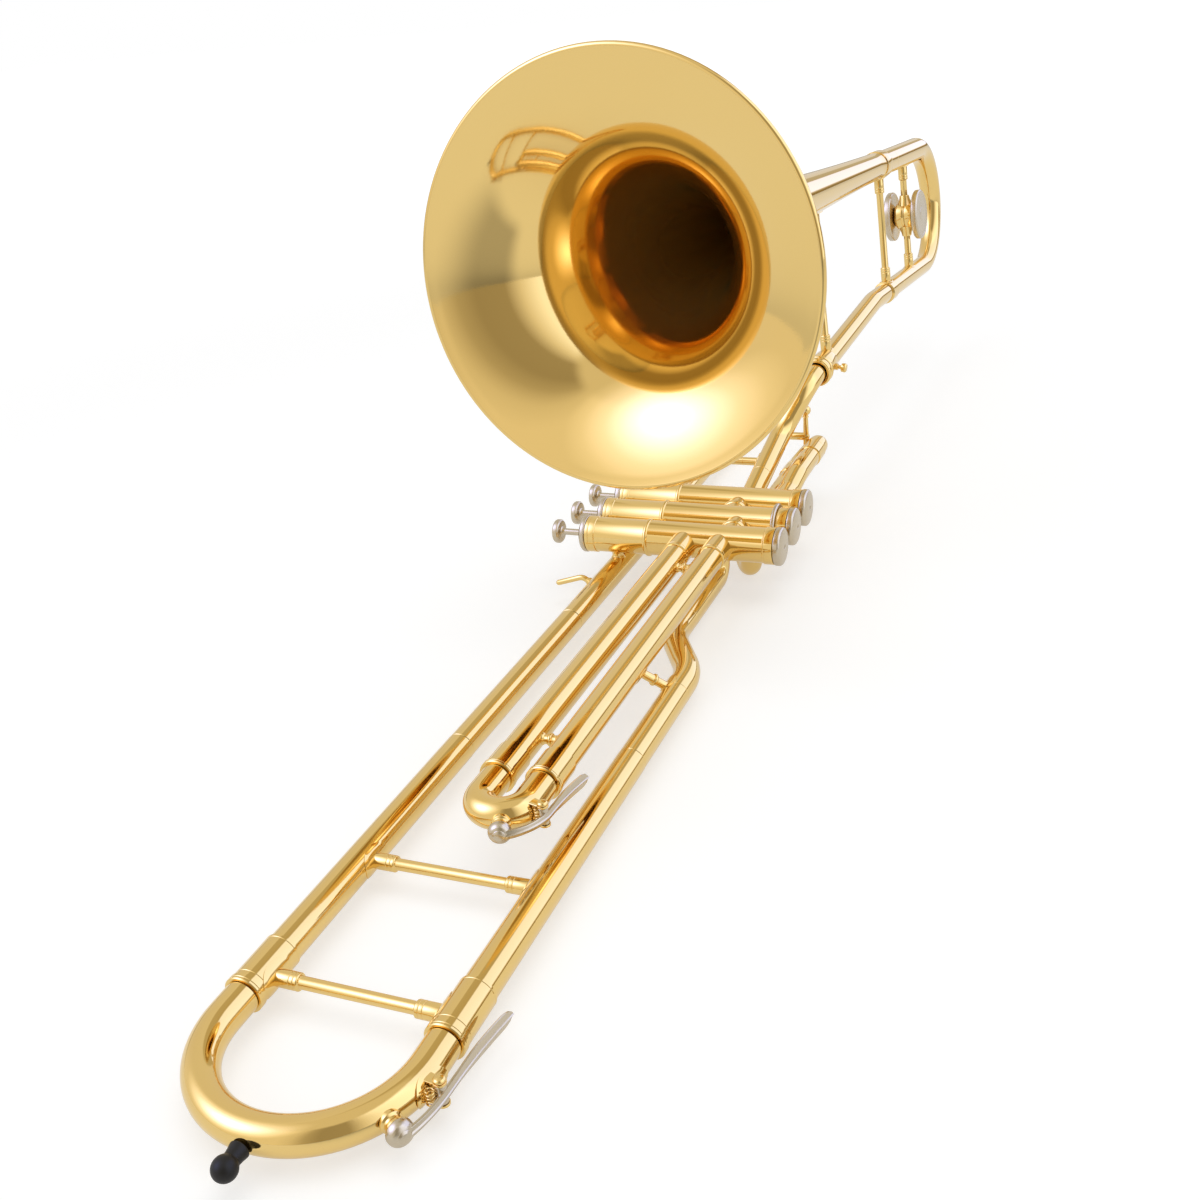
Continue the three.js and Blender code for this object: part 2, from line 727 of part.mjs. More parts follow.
// A flat strip of even thickness that follows points in a level plane
function strip(points, thickness, height) {
  const sides = [1, -1].map((side) => points.map((point, i) => {
    const before = points[Math.max(i - 1, 0)];
    const after = points[Math.min(i + 1, points.length - 1)];
    const along = after.clone().sub(before).normalize();
    const half = (side * thickness) / 2;
    return new THREE.Vector2(point.x - along.y * half, point.y + along.x * half);
  }));
  const shape = new THREE.Shape([...sides[1], ...sides[0].reverse()]);
  const geometry = new THREE.ExtrudeGeometry(shape, { depth: height, bevelEnabled: false });
  return geometry.translate(0, 0, points[0].z - height / 2);
}

// The lever: a cup over the nipple, an arm, a barrel round the pin and a leaf for the thumb
function waterKey(name, places) {
  const { pivot, cupSeat, spoonCentre, spoonLength, heading, arc } = places;
  const cup = turned([
    [0, 0], ...keyCupShares.map(([across, up]) => [keyCupRadius * across, keyCupDepth * up]),
    [0, keyCupDepth],
  ], cupSeat, heading, roundSides);
  const arm = strip([...arc, spoonCentre], keyArmThickness, keyArmHeight);
  const leverHeading = spoonCentre.clone().sub(arc[arc.length - 1]).normalize();
  const spoon = new THREE.SphereGeometry(spoonLength / 2, roundSides, smallSides);
  spoon.scale(1, keySpoonThickness / spoonLength, keySpoonHeight / spoonLength);
  spoon.applyQuaternion(new THREE.Quaternion().setFromUnitVectors(forward, leverHeading));
  spoon.translate(spoonCentre.x, spoonCentre.y, spoonCentre.z);
  const barrelBase = pivot.clone().addScaledVector(upward, -keyBarrelLength / 2);
  const barrel = rod(barrelBase, upward, keyBarrelRadius, keyBarrelLength);
  const bore = rod(barrelBase.clone().addScaledVector(downward, keyBarrelLength / 2), upward,
    keyPinRadius + seatGap, keyBarrelLength * 2);
  return piece(name, cut(joined(cup, arm, spoon, barrel), solid(bore)), nickel);
}

function keyScrew(name, places) {
  const { pivot } = places;
  const half = keyBarrelLength / 2 + seatGap + keyEarThickness;
  return piece(name, turned([
    [0, -half - keyEarThickness / 2], [keyPinRadius, -half - keyEarThickness / 2],
    [keyPinRadius, half + seatGap], [keyPinHeadRadius, half + seatGap],
    [keyPinHeadRadius, half + seatGap + keyEarThickness * keyPinHeadShare],
    [keyPinHeadRadius * keyPinCrownShare, half + seatGap + keyEarThickness],
    [0, half + seatGap + keyEarThickness],
  ], pivot, upward, smallSides), brass);
}

function frontBow() {
  const group = new THREE.Group();
  const reach = (returnRailSide - leadRailSide) / 2;
  const left = vec(frontBowStart, leadRailSide, railHeight);
  const right = vec(frontBowStart, returnRailSide, railHeight);
  const legGap = frontBowStart - frontSleeveFront - seatGap;
  const bow = slideBow(left, right, forward, legGap, slideLegLength, railRadius - seatGap / 2);
  const centre = left.clone().add(right).multiplyScalar(0.5);
  const places = keyPlaces(centre, reach, railRadius, frontKeySweep, frontPivotSweep, frontKeyReach);
  group.add(piece('front_bow', withKeySeat(bow, places, frontPivotSweep), brass));
  group.add(waterKey('front_water_key', places));
  group.add(keyScrew('front_key_screw', places));
  const root = centre.clone().addScaledVector(forward, reach + railRadius - seatGap);
  const ballCentre = bumperLength - bumperBallRadius;
  const ballSkin = bumperBallAngles.map(THREE.MathUtils.degToRad).map((angle) => [
    bumperBallRadius * Math.cos(angle), ballCentre + bumperBallRadius * Math.sin(angle),
  ]);
  group.add(piece('front_bumper', turned([
    [0, seatGap * 2], [bumperFootRadius, seatGap * 2], [bumperNeckRadius, ballCentre / 2],
    ...ballSkin, [0, bumperLength],
  ], root, forward), rubber));
  return group;
}

function thirdSlide() {
  const group = new THREE.Group();
  group.add(thirdSlideTube('third_slide_left_tube', thirdLeftPlace));
  group.add(thirdSlideTube('third_slide_right_tube', thirdRightPlace));
  const left = vec(thirdBowStart, thirdLeftPlace, valveHeight);
  const right = vec(thirdBowStart, thirdRightPlace, valveHeight);
  const legGap = thirdBowStart - thirdSleeveFront - seatGap;
  const bow = slideBow(left, right, forward, legGap, thirdInnerLength, thirdSlideRadius - seatGap);
  const reach = (thirdRightPlace - thirdLeftPlace) / 2;
  const centre = left.clone().add(right).multiplyScalar(0.5);
  const places = keyPlaces(centre, reach, thirdSlideRadius, thirdKeySweep, thirdPivotSweep, thirdKeyReach);
  group.add(piece('third_slide_bow', withKeySeat(bow, places, thirdPivotSweep), brass));
  group.add(waterKey('third_water_key', places));
  group.add(keyScrew('third_key_screw', places));
  [['third_slide_front_brace', thirdFrontBraceStation], ['third_slide_rear_brace', thirdRearBraceStation]]
    .forEach(([name, station]) => {
      const ends = [thirdLeftPlace, thirdRightPlace].map((place) => vec(station, place, valveHeight));
      const spaces = ends.map((end) => tubeSpace(end, forward, thirdSlideRadius));
      group.add(piece(name, shortBrace(...ends, ...spaces), brass));
    });
  return group;
}

function secondSlide() {
  const group = new THREE.Group();
  const centre = vec(valveStation(2), secondSlidePlace, valveHeight - secondStubDrop);
  const spread = vec(Math.cos(secondLegTurn), Math.sin(secondLegTurn), 0).multiplyScalar(secondLegSpread / 2);
  const bore = secondSlideRadius - tubeWall;
  const knuckleSpaces = [[-1, firstKnucklePlace], [1, thirdKnucklePlace]].map(([side, place]) => tubeSpace(
    vec(valveStation(2) + (side * valvePitch) / 2, place, valveHeight), forward, knuckleBeadRadius,
  ));
  [['second_slide_front_tube', 1], ['second_slide_rear_tube', -1]].forEach(([name, side]) => {
    const end = centre.clone().addScaledVector(spread, side);
    const stub = solid(tube([[secondSlideRadius, 0], [secondSlideRadius, secondStubDrop - casingRadius / 2]],
      bore, end, upward));
    group.add(piece(name, cut(stub, casingSaddle(2), ...knuckleSpaces), brass));
  });
  const inner = bore - seatGap;
  const ends = [1, -1].map((side) => centre.clone()
    .addScaledVector(spread, side).addScaledVector(downward, seatGap));
  const reach = secondLegSpread / 2;
  const corners = [ends[0], ...ends.map((end) => end.clone().addScaledVector(downward, reach)), ends[1]];
  const bow = bentTube(new BentRoute(corners, [reach, reach]), secondSlideRadius, inner - tubeWall / 2);
  const legs = ends.map((end) => tube([[inner, -tubeWall], [inner, secondInnerLength]], inner - tubeWall,
    end, upward));
  group.add(piece('second_slide_bow', joined(bow, ...legs), brass));
  return group;
}

function firstSlide() {
  const group = new THREE.Group();
  const bore = firstSlideRadius - tubeWall;
  const upper = vec(firstSleeveRear, firstUpperPlace, valveHeight + firstUpperRise);
  const lower = vec(firstSleeveRear, firstLowerPlace, valveHeight + firstLowerRise);
  const mouthOf = (place, rise) => vec(valveStation(1) - casingRadius / 2, place, valveHeight + rise);
  const upperMouth = mouthOf(firstUpperPortPlace, firstUpperPortRise);
  const upperRoute = new BentRoute([
    upperMouth, upperMouth.clone().setX(firstBendFront), upper.clone().setX(firstBendRear), upper,
  ], [firstBendRadius, firstBendRadius]);
  const lowerRoute = new BentRoute([mouthOf(firstLowerPlace, firstLowerRise), lower], []);
  [['first_slide_upper_tube', upper, upperRoute], ['first_slide_lower_tube', lower, lowerRoute]]
    .forEach(([name, end, route]) => {
      const sleeve = tube([[firstSleeveRadius, 0], [firstSleeveRadius, firstSleeveFront - firstSleeveRear]],
        bore, end, forward);
      const outer = bentTube(route, firstSlideRadius, bore, roundSides, roundSides);
      group.add(piece(name, cut(joined(outer, sleeve), casingSaddle(1)), brass));
    });
  const inner = bore - seatGap;
  const fronts = [upper, lower].map((end) => end.clone().addScaledVector(backward, seatGap));
  const reach = upper.distanceTo(lower) / 2;
  const crowns = fronts.map((front) => vec(firstBowStart - reach, front.y, front.z));
  const route = new BentRoute([fronts[0], ...crowns, fronts[1]], [reach, reach]);
  const legs = fronts.map((front) => tube([[inner, -cutOverrun], [inner, firstInnerLength]],
    inner - tubeWall, front, forward));
  const postRoot = crowns[0].clone().lerp(crowns[1], pullPostShare);
  const armRoot = postRoot.clone().addScaledVector(upward, pullArmRise);
  const posts = [
    [postRoot, upward, pullPostRadius, pullPostLength],
    [armRoot, sideways.clone().negate(), pullArmRadius, pullArmLength],
  ].map(([from, direction, radius, length]) => [
    rod(from, direction, radius, length),
    ball(from.clone().addScaledVector(direction, length), pullBallRadius),
  ]).flat();
  const airway = solid(bentTube(route, inner - tubeWall / 2, 0, boreSides));
  const bow = joined(bentTube(route, firstSlideRadius, inner - tubeWall / 2), ...posts).subtract(airway);
  group.add(piece('first_slide_bow', bow.add(joined(...legs)), brass));
  return group;
}

// The bell section's own frame: +X out of the bell along its axis, the neck below it
const bellTurn = new THREE.Quaternion()
  .setFromAxisAngle(upward, bellYawAngle)
  .multiply(new THREE.Quaternion().setFromAxisAngle(sideways, -bellPitchAngle))
  .multiply(new THREE.Quaternion().setFromAxisAngle(forward, bellLeanAngle));
const inBell = (station, offset) => vec(-station, 0, -offset);
const fromBell = (point) => point.clone().applyQuaternion(bellTurn);
const neckBendStation = bellLength - neckStraight;
const rearBowReach = bellLength + rearBowStraight;
const bellBraceStation = neckFrontStation + bellBraceLead;

// The flare's curve meets the mouth's radius at the rim and the stem's where the ferrule starts
const flareLength = bellLength - stemFerruleLength + bellFlareShift;
const flarePower = Math.log(bellMouthRadius / bellStemRadius) / Math.log(flareLength / bellFlareShift);
const flareRadius = (station) => (
  bellMouthRadius * (bellFlareShift / (station + bellFlareShift)) ** flarePower
);

// The bell's skin at one station: its outside, then the inside one wall's thickness in
function flareSkin(station) {
  const radius = flareRadius(station);
  const slope = (-flarePower * radius) / (station + bellFlareShift);
  const depth = bellWall / Math.hypot(1, slope);
  return [[radius, -station], [radius - depth, -station - depth * slope]];
}

const neckFront = inBell(neckFrontStation, neckFrontOffset);
const neckHeading = neckFront.clone().sub(inBell(neckBendStation, neckOffset)).normalize();
const socketFront = neckFront.clone().addScaledVector(neckHeading, seatGap);

function bell() {
  const stationShares = [0.008, 0.016, 0.031, 0.054, 0.088, 0.14, 0.22, 0.34, 0.5, 0.7, 1];
  const ferruleFront = -bellLength + stemFerruleLength;
  const skins = stationShares.map((share) => flareSkin(-share * ferruleFront));
  const outside = skins.map(([outer]) => outer).reverse();
  const inside = skins.map(([, inner]) => inner);
  const rim = bellRimAngles.map(THREE.MathUtils.degToRad).map((angle) => [
    bellMouthRadius + bellBeadRadius * (Math.cos(angle) - 1), bellBeadRadius * (Math.sin(angle) - 1),
  ]);
  const bore = stemLegRadius + seatGap;
  const ferrule = [
    [bore, ferruleFront], [bore, -bellLength],
    [stemFerruleRadius, -bellLength], [stemFerruleRadius, ferruleFront],
  ];
  const profile = [...ferrule, ...outside, ...rim, ...inside];
  return piece('bell', turned(profile, vec(0, 0, 0), forward, bellSides), brass);
}

function bellSection() {
  const group = new THREE.Group();
  group.quaternion.copy(bellTurn);
  group.add(bell());

  const neckRear = inBell(bellLength, neckOffset);
  const neckRoute = new BentRoute([
    neckRear, inBell(neckBendStation, neckOffset), neckFront,
  ], [neckBendRadius]);
  const neckBore = neckRadius - neckWall;
  const neckFerrule = tube([
    [neckFerruleRadius, 0], [neckFerruleRadius, neckFerruleLength],
  ], neckBore, neckRear, forward);
  const neck = bentTube(neckRoute, neckRadius, neckBore, roundSides, roundSides);
  group.add(piece('neck_pipe', joined(neck, neckFerrule), brass));

  const socketRear = socketFront.clone().addScaledVector(neckHeading, -socketLength * socketLapShare);
  group.add(piece('bell_socket', tube([
    [socketRadius - tubeWall, 0], [socketRadius, socketLength * socketThroatShare],
    ...bead(socketBeadRadius, socketRadius, socketLength * socketBeadShare, socketBeadWidth),
  ], neckRadius + seatGap, socketRear, neckHeading), brass));

  const bowEnds = [0, neckOffset].map((offset) => inBell(rearBowReach, offset));
  const bowRadius = neckOffset / 2;
  const straight = rearBowReach - bellLength - seatGap;
  const bowFront = bowEnds.map((end) => end.clone().addScaledVector(forward, straight));
  const bowRoute = new BentRoute([
    bowFront[0], bowEnds[0].clone().addScaledVector(backward, bowRadius),
    bowEnds[1].clone().addScaledVector(backward, bowRadius), bowFront[1],
  ], [bowRadius, bowRadius]);
  const bowWall = tubeWall + seatGap;
  const bow = taperedTube(bowRoute, rearBowStemRadius, rearBowNeckRadius, bowWall);
  const legRadii = [stemLegRadius, neckBore - seatGap];
  const legs = bowFront.map((front, i) => tube([
    [legRadii[i], -cutOverrun], [legRadii[i], rearBowLegLength],
  ], legRadii[i] - tubeWall, front, forward));
  const collars = bowFront.map((front, i) => tube([
    [[rearBowStemRadius, rearBowNeckRadius][i] - tubeWall / 2, -cutOverrun],
    [[rearBowStemRadius, rearBowNeckRadius][i] - tubeWall / 2, 0],
  ], legRadii[i] - tubeWall / 2, front, forward));
  group.add(piece('rear_bow', joined(bow, ...legs, ...collars), brass));

  const space = (station, offset, radius) => tubeSpace(inBell(station, offset), forward, radius);
  const rearBraceStation = bellLength - rearBraceInset;
  group.add(piece('rear_fixed_brace', brace(
    inBell(rearBraceStation, 0), inBell(rearBraceStation, neckOffset),
    space(rearBraceStation, 0, stemFerruleRadius), space(rearBraceStation, neckOffset, neckFerruleRadius),
  ), brass));

  const bowBraceStation = rearBowReach - bowBraceInset;
  const braceTop = inBell(bowBraceStation, 0);
  const braceFoot = inBell(bowBraceStation, neckOffset);
  const hubCentre = inBell(bowBraceStation, neckOffset / 2);
  const rodBody = brace(braceTop, braceFoot,
    space(bowBraceStation, 0, rearBowStemRadius), space(bowBraceStation, neckOffset, rearBowNeckRadius));
  const hub = rod(hubCentre.clone().addScaledVector(sideways, -weightHubLength / 2), sideways,
    weightHubRadius, weightHubLength, weightSides);
  group.add(piece('rear_bow_brace', rodBody.add(solid(hub)), brass));
  [['right_balance_weight', 1], ['left_balance_weight', -1]].forEach(([name, side]) => {
    const direction = sideways.clone().multiplyScalar(side);
    const base = hubCentre.clone().addScaledVector(direction, weightHubLength / 2 + seatGap);
    const edge = weightThickness / 4;
    group.add(piece(name, turned([
      [0, 0], [weightRadius - edge, 0], [weightRadius, edge], [weightRadius, weightThickness - edge],
      [weightRadius - edge, weightThickness], [0, weightThickness],
    ], base, direction, weightSides), nickel));
  });

  const braceRise = flareRadius(bellBraceStation);
  const onNeck = inBell(bellBraceStation, neckFrontOffset - (bellBraceStation - neckFrontStation)
    * (neckFrontOffset - neckOffset) / (neckBendStation - neckFrontStation));
  group.add(piece('bell_brace', brace(inBell(bellBraceStation, 0), onNeck,
    space(bellBraceStation, 0, braceRise + seatGap), tubeSpace(onNeck, neckHeading, socketRadius)), brass));
  return group;
}

const gooseEnd = fromBell(socketFront.clone().addScaledVector(neckHeading, seatGap));
const gooseStart = vec(valveStation(1), goosePlace, valveHeight);
const gooseCorner = vec(gooseBendStation, gooseBendPlace, valveHeight + gooseBendRise);

function gooseneck() {
  const upperCorner = gooseEnd.clone().addScaledVector(fromBell(neckHeading), gooseLead);
  const bends = [gooseCurveRadius, gooseCurveRadius];
  const route = new BentRoute([gooseStart, gooseCorner, upperCorner, gooseEnd], bends);
  const body = cut(solid(bentTube(route, gooseRadius, gooseRadius - tubeWall)), casingSaddle(1));
  return piece('gooseneck', body, brass);
}

function rails() {
  const group = new THREE.Group();
  const lead = (station) => vec(station, leadRailSide, railHeight);
  const back = (station) => vec(station, returnRailSide, railHeight);
  const bore = railRadius - tubeWall;
  const beadCentre = frontSleeveFront - frontSleeveBeadWidth / 2;
  const railFrom = (line, start) => tube([
    [railRadius, 0], [railRadius, frontSleeveRear - start], [frontSleeveRadius, frontSleeveRear - start],
    ...bead(frontSleeveBeadRadius, frontSleeveRadius, beadCentre - start, frontSleeveBeadWidth),
  ], bore, line(start), forward);
  group.add(piece('lead_rail', railFrom(lead, leadRailJoint + seatGap), brass));
  const leadStart = mouthpipeFront + seatGap;
  group.add(piece('lead_pipe', tube([[mouthpipeRadius, 0], [mouthpipeRadius, leadRailJoint - leadStart]],
    mouthpipeRadius - tubeWall, lead(leadStart), forward), brass));
  group.add(piece('return_rail', railFrom(back, returnRailJoint + seatGap), brass));
  group.add(piece('mouthpipe', tube([
    [mouthpipeRearRadius, 0], [mouthpipeRadius, -mouthpipeRear / 2],
    [mouthpipeRadius, mouthpipeFront - mouthpipeRear],
  ], mouthpipeRearRadius - tubeWall, lead(mouthpipeRear), forward), brass));

  const receiverFront = receiverLength - receiverRimLength;
  const slope = (mouthpipeRadius - mouthpipeRearRadius) / (-mouthpipeRear / 2);
  group.add(piece('mouthpiece_receiver', turned([
    [receiverSocketRadius, -receiverRimLength], [receiverRimRadius, -receiverRimLength],
    [receiverRimRadius, 0],
    [receiverRadius, seatGap * 2], [receiverRadius, receiverFront * receiverTaperShare],
    [mouthpipeRearRadius + slope * receiverFront + seatGap + tubeWall, receiverFront],
    [mouthpipeRearRadius + slope * receiverFront + seatGap, receiverFront],
    [mouthpipeRearRadius + seatGap, -seatGap], [receiverSocketRadius, -seatGap],
  ], lead(mouthpipeRear), forward), brass));

  [['front_brace', frontBraceStation, frontSleeveRadius], ['middle_brace', middleBraceStation, railRadius]]
    .forEach(([name, station, radius]) => group.add(piece(name, brace(lead(station), back(station),
      tubeSpace(lead(station), forward, radius), tubeSpace(back(station), forward, radius)), brass)));

  const sRoute = new BentRoute([
    back(returnRailJoint), back(sBendStart), vec(sBendEnd, sBendSide, railHeight),
    vec(valveStation(3), sBendSide, railHeight), vec(valveStation(3), sBendSide, valveHeight),
  ], [sBendRadius, sBendRadius, elbowRadius]);
  const sBend = cut(solid(bentTube(sRoute, railRadius - seatGap / 2, bore)), casingSaddle(3));
  group.add(piece('s_bend', sBend, brass));

  const slideSide = vec(sBendBraceRear, thirdRightPlace, valveHeight);
  const railSide = back(sBendBraceFront);
  group.add(piece('s_bend_brace', shortBrace(slideSide, railSide,
    tubeSpace(slideSide, forward, thirdSlideRadius), tubeSpace(railSide, forward, railRadius)), brass));

  const hookRoot = lead(hookStation).add(vec(0, -mouthpipeRadius / 2, 0));
  const hook = bentTube(new BentRoute([
    hookRoot, lead(hookStation).add(vec(0, -hookArchReach, hookArchRise)),
    lead(hookStation).add(vec(0, -hookReach, -hookRootRise)),
  ], [hookBendRadius]), hookWireRadius, 0, smallSides);
  const hookBody = cut(solid(hook), tubeSpace(lead(hookStation), forward, mouthpipeRadius));
  group.add(piece('finger_hook', hookBody, brass));

  const gooseShare = (valveStation(1) - gooseBraceStation) / (valveStation(1) - gooseBendStation);
  const gooseAt = gooseStart.clone().lerp(gooseCorner, gooseShare);
  const gooseFoot = lead(gooseBraceStation);
  const gooseBrace = bentTube(new BentRoute([
    gooseAt, vec(gooseBraceStation, leadRailSide, gooseAt.z), gooseFoot,
  ], [gooseBraceBend]), braceRodRadius, 0, smallSides);
  group.add(piece('gooseneck_brace', cut(solid(gooseBrace), tubeSpace(gooseFoot, forward, mouthpipeRadius),
    tubeSpace(gooseAt, gooseCorner.clone().sub(gooseStart).normalize(), gooseRadius)), brass));

  const saddle = rod(lead(valveStation(3)), upward, mouthpipeRadius / 2, valveHeight - railHeight);
  group.add(piece('mouthpipe_saddle', cut(solid(saddle),
    tubeSpace(lead(valveStation(3)), forward, mouthpipeRadius), casingSaddle(3)), brass));
  return group;
}

const instrument = new THREE.Group();
instrument.add(
  bellSection(), gooseneck(), rails(), frontBow(),
  valve(1, 'first'), valve(2, 'second'), valve(3, 'third'),
  knuckle('first_knuckle', 1, firstKnucklePlace), knuckle('second_knuckle', 2, thirdKnucklePlace),
  valveRing('second_valve_ring', 2),
  thirdSlide(), secondSlide(), firstSlide(),
);

// The origin is under the middle of the instrument's box, at the level it lies on
const box = new THREE.Box3().setFromObject(instrument, true);
const middle = box.getCenter(new THREE.Vector3());
instrument.position.set(-middle.x, -middle.y, -box.min.z);

export default instrument;
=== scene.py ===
import math
import bmesh
import bpy
from mathutils import Matrix, Quaternion, Vector


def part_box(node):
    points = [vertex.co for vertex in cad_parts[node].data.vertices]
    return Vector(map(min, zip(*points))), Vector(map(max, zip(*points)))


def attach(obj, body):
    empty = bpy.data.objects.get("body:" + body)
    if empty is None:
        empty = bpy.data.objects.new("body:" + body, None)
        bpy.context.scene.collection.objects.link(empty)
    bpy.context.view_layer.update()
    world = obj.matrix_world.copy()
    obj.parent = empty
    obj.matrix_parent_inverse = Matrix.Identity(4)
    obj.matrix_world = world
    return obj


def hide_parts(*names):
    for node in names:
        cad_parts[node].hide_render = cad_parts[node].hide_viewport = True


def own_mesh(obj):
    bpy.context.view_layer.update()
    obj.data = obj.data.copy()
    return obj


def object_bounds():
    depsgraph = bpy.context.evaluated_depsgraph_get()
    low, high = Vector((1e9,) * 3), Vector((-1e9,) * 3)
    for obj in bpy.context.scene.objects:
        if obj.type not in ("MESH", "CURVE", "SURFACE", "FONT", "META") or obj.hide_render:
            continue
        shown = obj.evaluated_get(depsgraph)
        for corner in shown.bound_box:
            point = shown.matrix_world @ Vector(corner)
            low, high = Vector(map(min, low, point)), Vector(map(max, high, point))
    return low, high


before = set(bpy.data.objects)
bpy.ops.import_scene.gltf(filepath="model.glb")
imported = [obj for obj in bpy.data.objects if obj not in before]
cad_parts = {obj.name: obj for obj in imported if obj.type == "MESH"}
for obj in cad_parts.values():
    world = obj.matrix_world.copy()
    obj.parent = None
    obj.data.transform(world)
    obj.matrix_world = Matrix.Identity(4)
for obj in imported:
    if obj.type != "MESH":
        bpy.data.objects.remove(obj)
cadBox = [list(corner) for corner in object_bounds()]
mm = 0.001
tiny = 1e-6

# Places are in millimetres from the middle of the bell's mouth: x forward, y towards the lower caps, z up.
# The third casing ties them to the frame, by its middle in x and z and its top end in y.
thirdCasing = {"x": -113.4, "z": -181.1, "top": -75.5}
casingLow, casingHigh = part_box("third_valve_casing")
origin = Vector((
    (casingLow[0] + casingHigh[0]) / 2 - thirdCasing["x"] * mm,
    casingLow[1] - thirdCasing["top"] * mm,
    (casingLow[2] + casingHigh[2]) / 2 - thirdCasing["z"] * mm,
))
forward, sideways, upward = Vector((1, 0, 0)), Vector((0, 1, 0)), Vector((0, 0, 1))


def asMetres(point):
    return origin + Vector(point) * mm


# Shader maths as plain expressions: a wire is one output of a node, and wire["name"] is another of that node
class Wire:
    def __init__(self, board, socket):
        self.board = board
        self.socket = socket

    def __getitem__(self, output):
        return Wire(self.board, self.socket.node.outputs[output])

    def maths(self, operation, first, second):
        return self.board.node("Math", {"operation": operation}, {0: first, 1: second})

    def __add__(self, other):
        return self.maths("ADD", self, other)

    def __mul__(self, other):
        return self.maths("MULTIPLY", self, other)

    def __sub__(self, other):
        return self.maths("SUBTRACT", self, other)

    def __rsub__(self, other):
        return self.maths("SUBTRACT", other, self)

    def turnFrom(self, other):
        return self.maths("ARCTAN2", self, other)

    __radd__ = __add__
    __rmul__ = __mul__


class Board:
    def __init__(self, tree):
        self.tree = tree
        tree.nodes.clear()

    def node(self, kind, settings=None, values=None):
        node = self.tree.nodes.new("ShaderNode" + kind)
        for key, value in (settings or {}).items():
            if key == "stops":
                ramp = node.color_ramp.elements
                for i, (position, colour) in enumerate(value):
                    stop = ramp[i] if i < 2 else ramp.new(position)  # a new ramp has two stops
                    stop.position, stop.color = position, colour
            else:
                setattr(node, key, value)
        for key, value in (values or {}).items():
            if isinstance(value, Wire):
                self.tree.links.new(value.socket, node.inputs[key])
            else:
                node.inputs[key].default_value = value
        return Wire(self, node.outputs[0]) if len(node.outputs) else None

    def mixed(self, share, first, second, manner="MIX"):
        settings = {"data_type": "RGBA", "blend_type": manner}
        return self.node("Mix", settings, {0: share, 6: first, 7: second})[2]

    def eased(self, value, low, high, least=0.0, most=1.0):
        return self.node("MapRange", {"interpolation_type": "SMOOTHSTEP"}, {
            "Value": value, "From Min": low, "From Max": high, "To Min": least, "To Max": most})


class Finish(Board):
    def __init__(self, name):
        self.material = bpy.data.materials.new(name)
        self.material.use_nodes = True
        super().__init__(self.material.node_tree)
        self.place = self.node("TexCoord")["Object"]

    def noise(self, scale, detail, roughness=0.5):
        values = {"Vector": self.place, "Scale": scale, "Detail": detail, "Roughness": roughness}
        return self.node("TexNoise", values=values)["Fac"]

    def bumped(self, height, strength, distance):
        values = {"Height": height, "Strength": strength, "Distance": distance}
        return self.node("Bump", values=values)["Normal"]

    def done(self, **values):
        values = {key.replace("_", " "): value for key, value in values.items()}
        self.node("OutputMaterial", values={"Surface": self.node("BsdfPrincipled", values=values)})
        return self.material


# Lacquered brass: a slow drift in tone and gloss, faint polishing marks, and painted shade down the bell's
# throat, where a deeper, darker tone and less metal stand in for the shade inside it. Each noise is its
# scale, detail and roughness, and a bump its strength and distance.
brassLook = {"warm": (0.86, 0.6, 0.205, 1), "pale": (0.89, 0.64, 0.24, 1), "gloss": 0.05, "haze": 0.06,
             "drift": (7.0, 4.0), "smear": (38.0, 5.0, 0.65), "grain": (1400.0, 2.0),
             "grainShare": 0.4, "smearShare": 0.6, "bump": (0.03, 0.0004), "coat": 0.25, "coatGloss": 0.04,
             # The throat range, with its deep tone and lower metal, is painted shade inside the bell; dull is
             # its added roughness
             "throat": (45, 200), "deep": (0.68, 0.42, 0.08, 1), "dull": 0.02, "worn": 0.35}
# The plain finishes: two tones, a drift between them that also sets the gloss, and a grain
plainLooks = {
    "nickel": {"name": "polishedNickel", "tones": ((0.59, 0.505, 0.37, 1), (0.67, 0.58, 0.435, 1)),
               "metal": 1.0, "specular": 0.5, "gloss": 0.2, "haze": 0.12,
               "drift": (60.0, 4.0), "grain": (2600.0, 2.0), "bump": (0.05, 0.0003)},
    "rubber": {"name": "blackRubber", "tones": ((0.008, 0.007, 0.006, 1), (0.022, 0.02, 0.018, 1)),
               "metal": 0.0, "specular": 0.3, "gloss": 0.36, "haze": 0.2,
               "drift": (180.0, 4.0), "grain": (1800.0, 3.0), "bump": (0.12, 0.0003)},
    "steel": {"name": "springSteel", "tones": ((0.42, 0.41, 0.4, 1), (0.62, 0.61, 0.6, 1)),
              "metal": 1.0, "specular": 0.5, "gloss": 0.22, "haze": 0.15,
              "drift": (300.0, 3.0), "grain": (300.0, 3.0), "bump": (0.05, 0.0002)},
}


def brassFinish(name, look=brassLook):
    f = Finish(name)
    drift, smear, grain = (f.noise(*look[layer]) for layer in ("drift", "smear", "grain"))
    # The throat mask carries painted shade: deeper in the bell it darkens the tone and takes metal away
    throat = f.node("Attribute", {"attribute_name": "throat"})["Fac"]
    colour = f.mixed(throat, f.mixed(drift, look["warm"], look["pale"]), look["deep"])
    roughness = look["gloss"] + look["haze"] * smear * drift + look["dull"] * throat
    normal = f.bumped(grain * look["grainShare"] + smear * look["smearShare"], *look["bump"])
    return f.done(Base_Color=colour, Metallic=1 - look["worn"] * throat, Roughness=roughness, Normal=normal,
                  Coat_Weight=look["coat"], Coat_Roughness=look["coatGloss"])


def plainFinish(look):
    f = Finish(look["name"])
    drift, grain = f.noise(*look["drift"]), f.noise(*look["grain"])
    return f.done(Base_Color=f.mixed(drift, *look["tones"]), Metallic=look["metal"],
                  Specular_IOR_Level=look["specular"], Roughness=look["gloss"] + look["haze"] * drift,
                  Normal=f.bumped(grain, *look["bump"]))


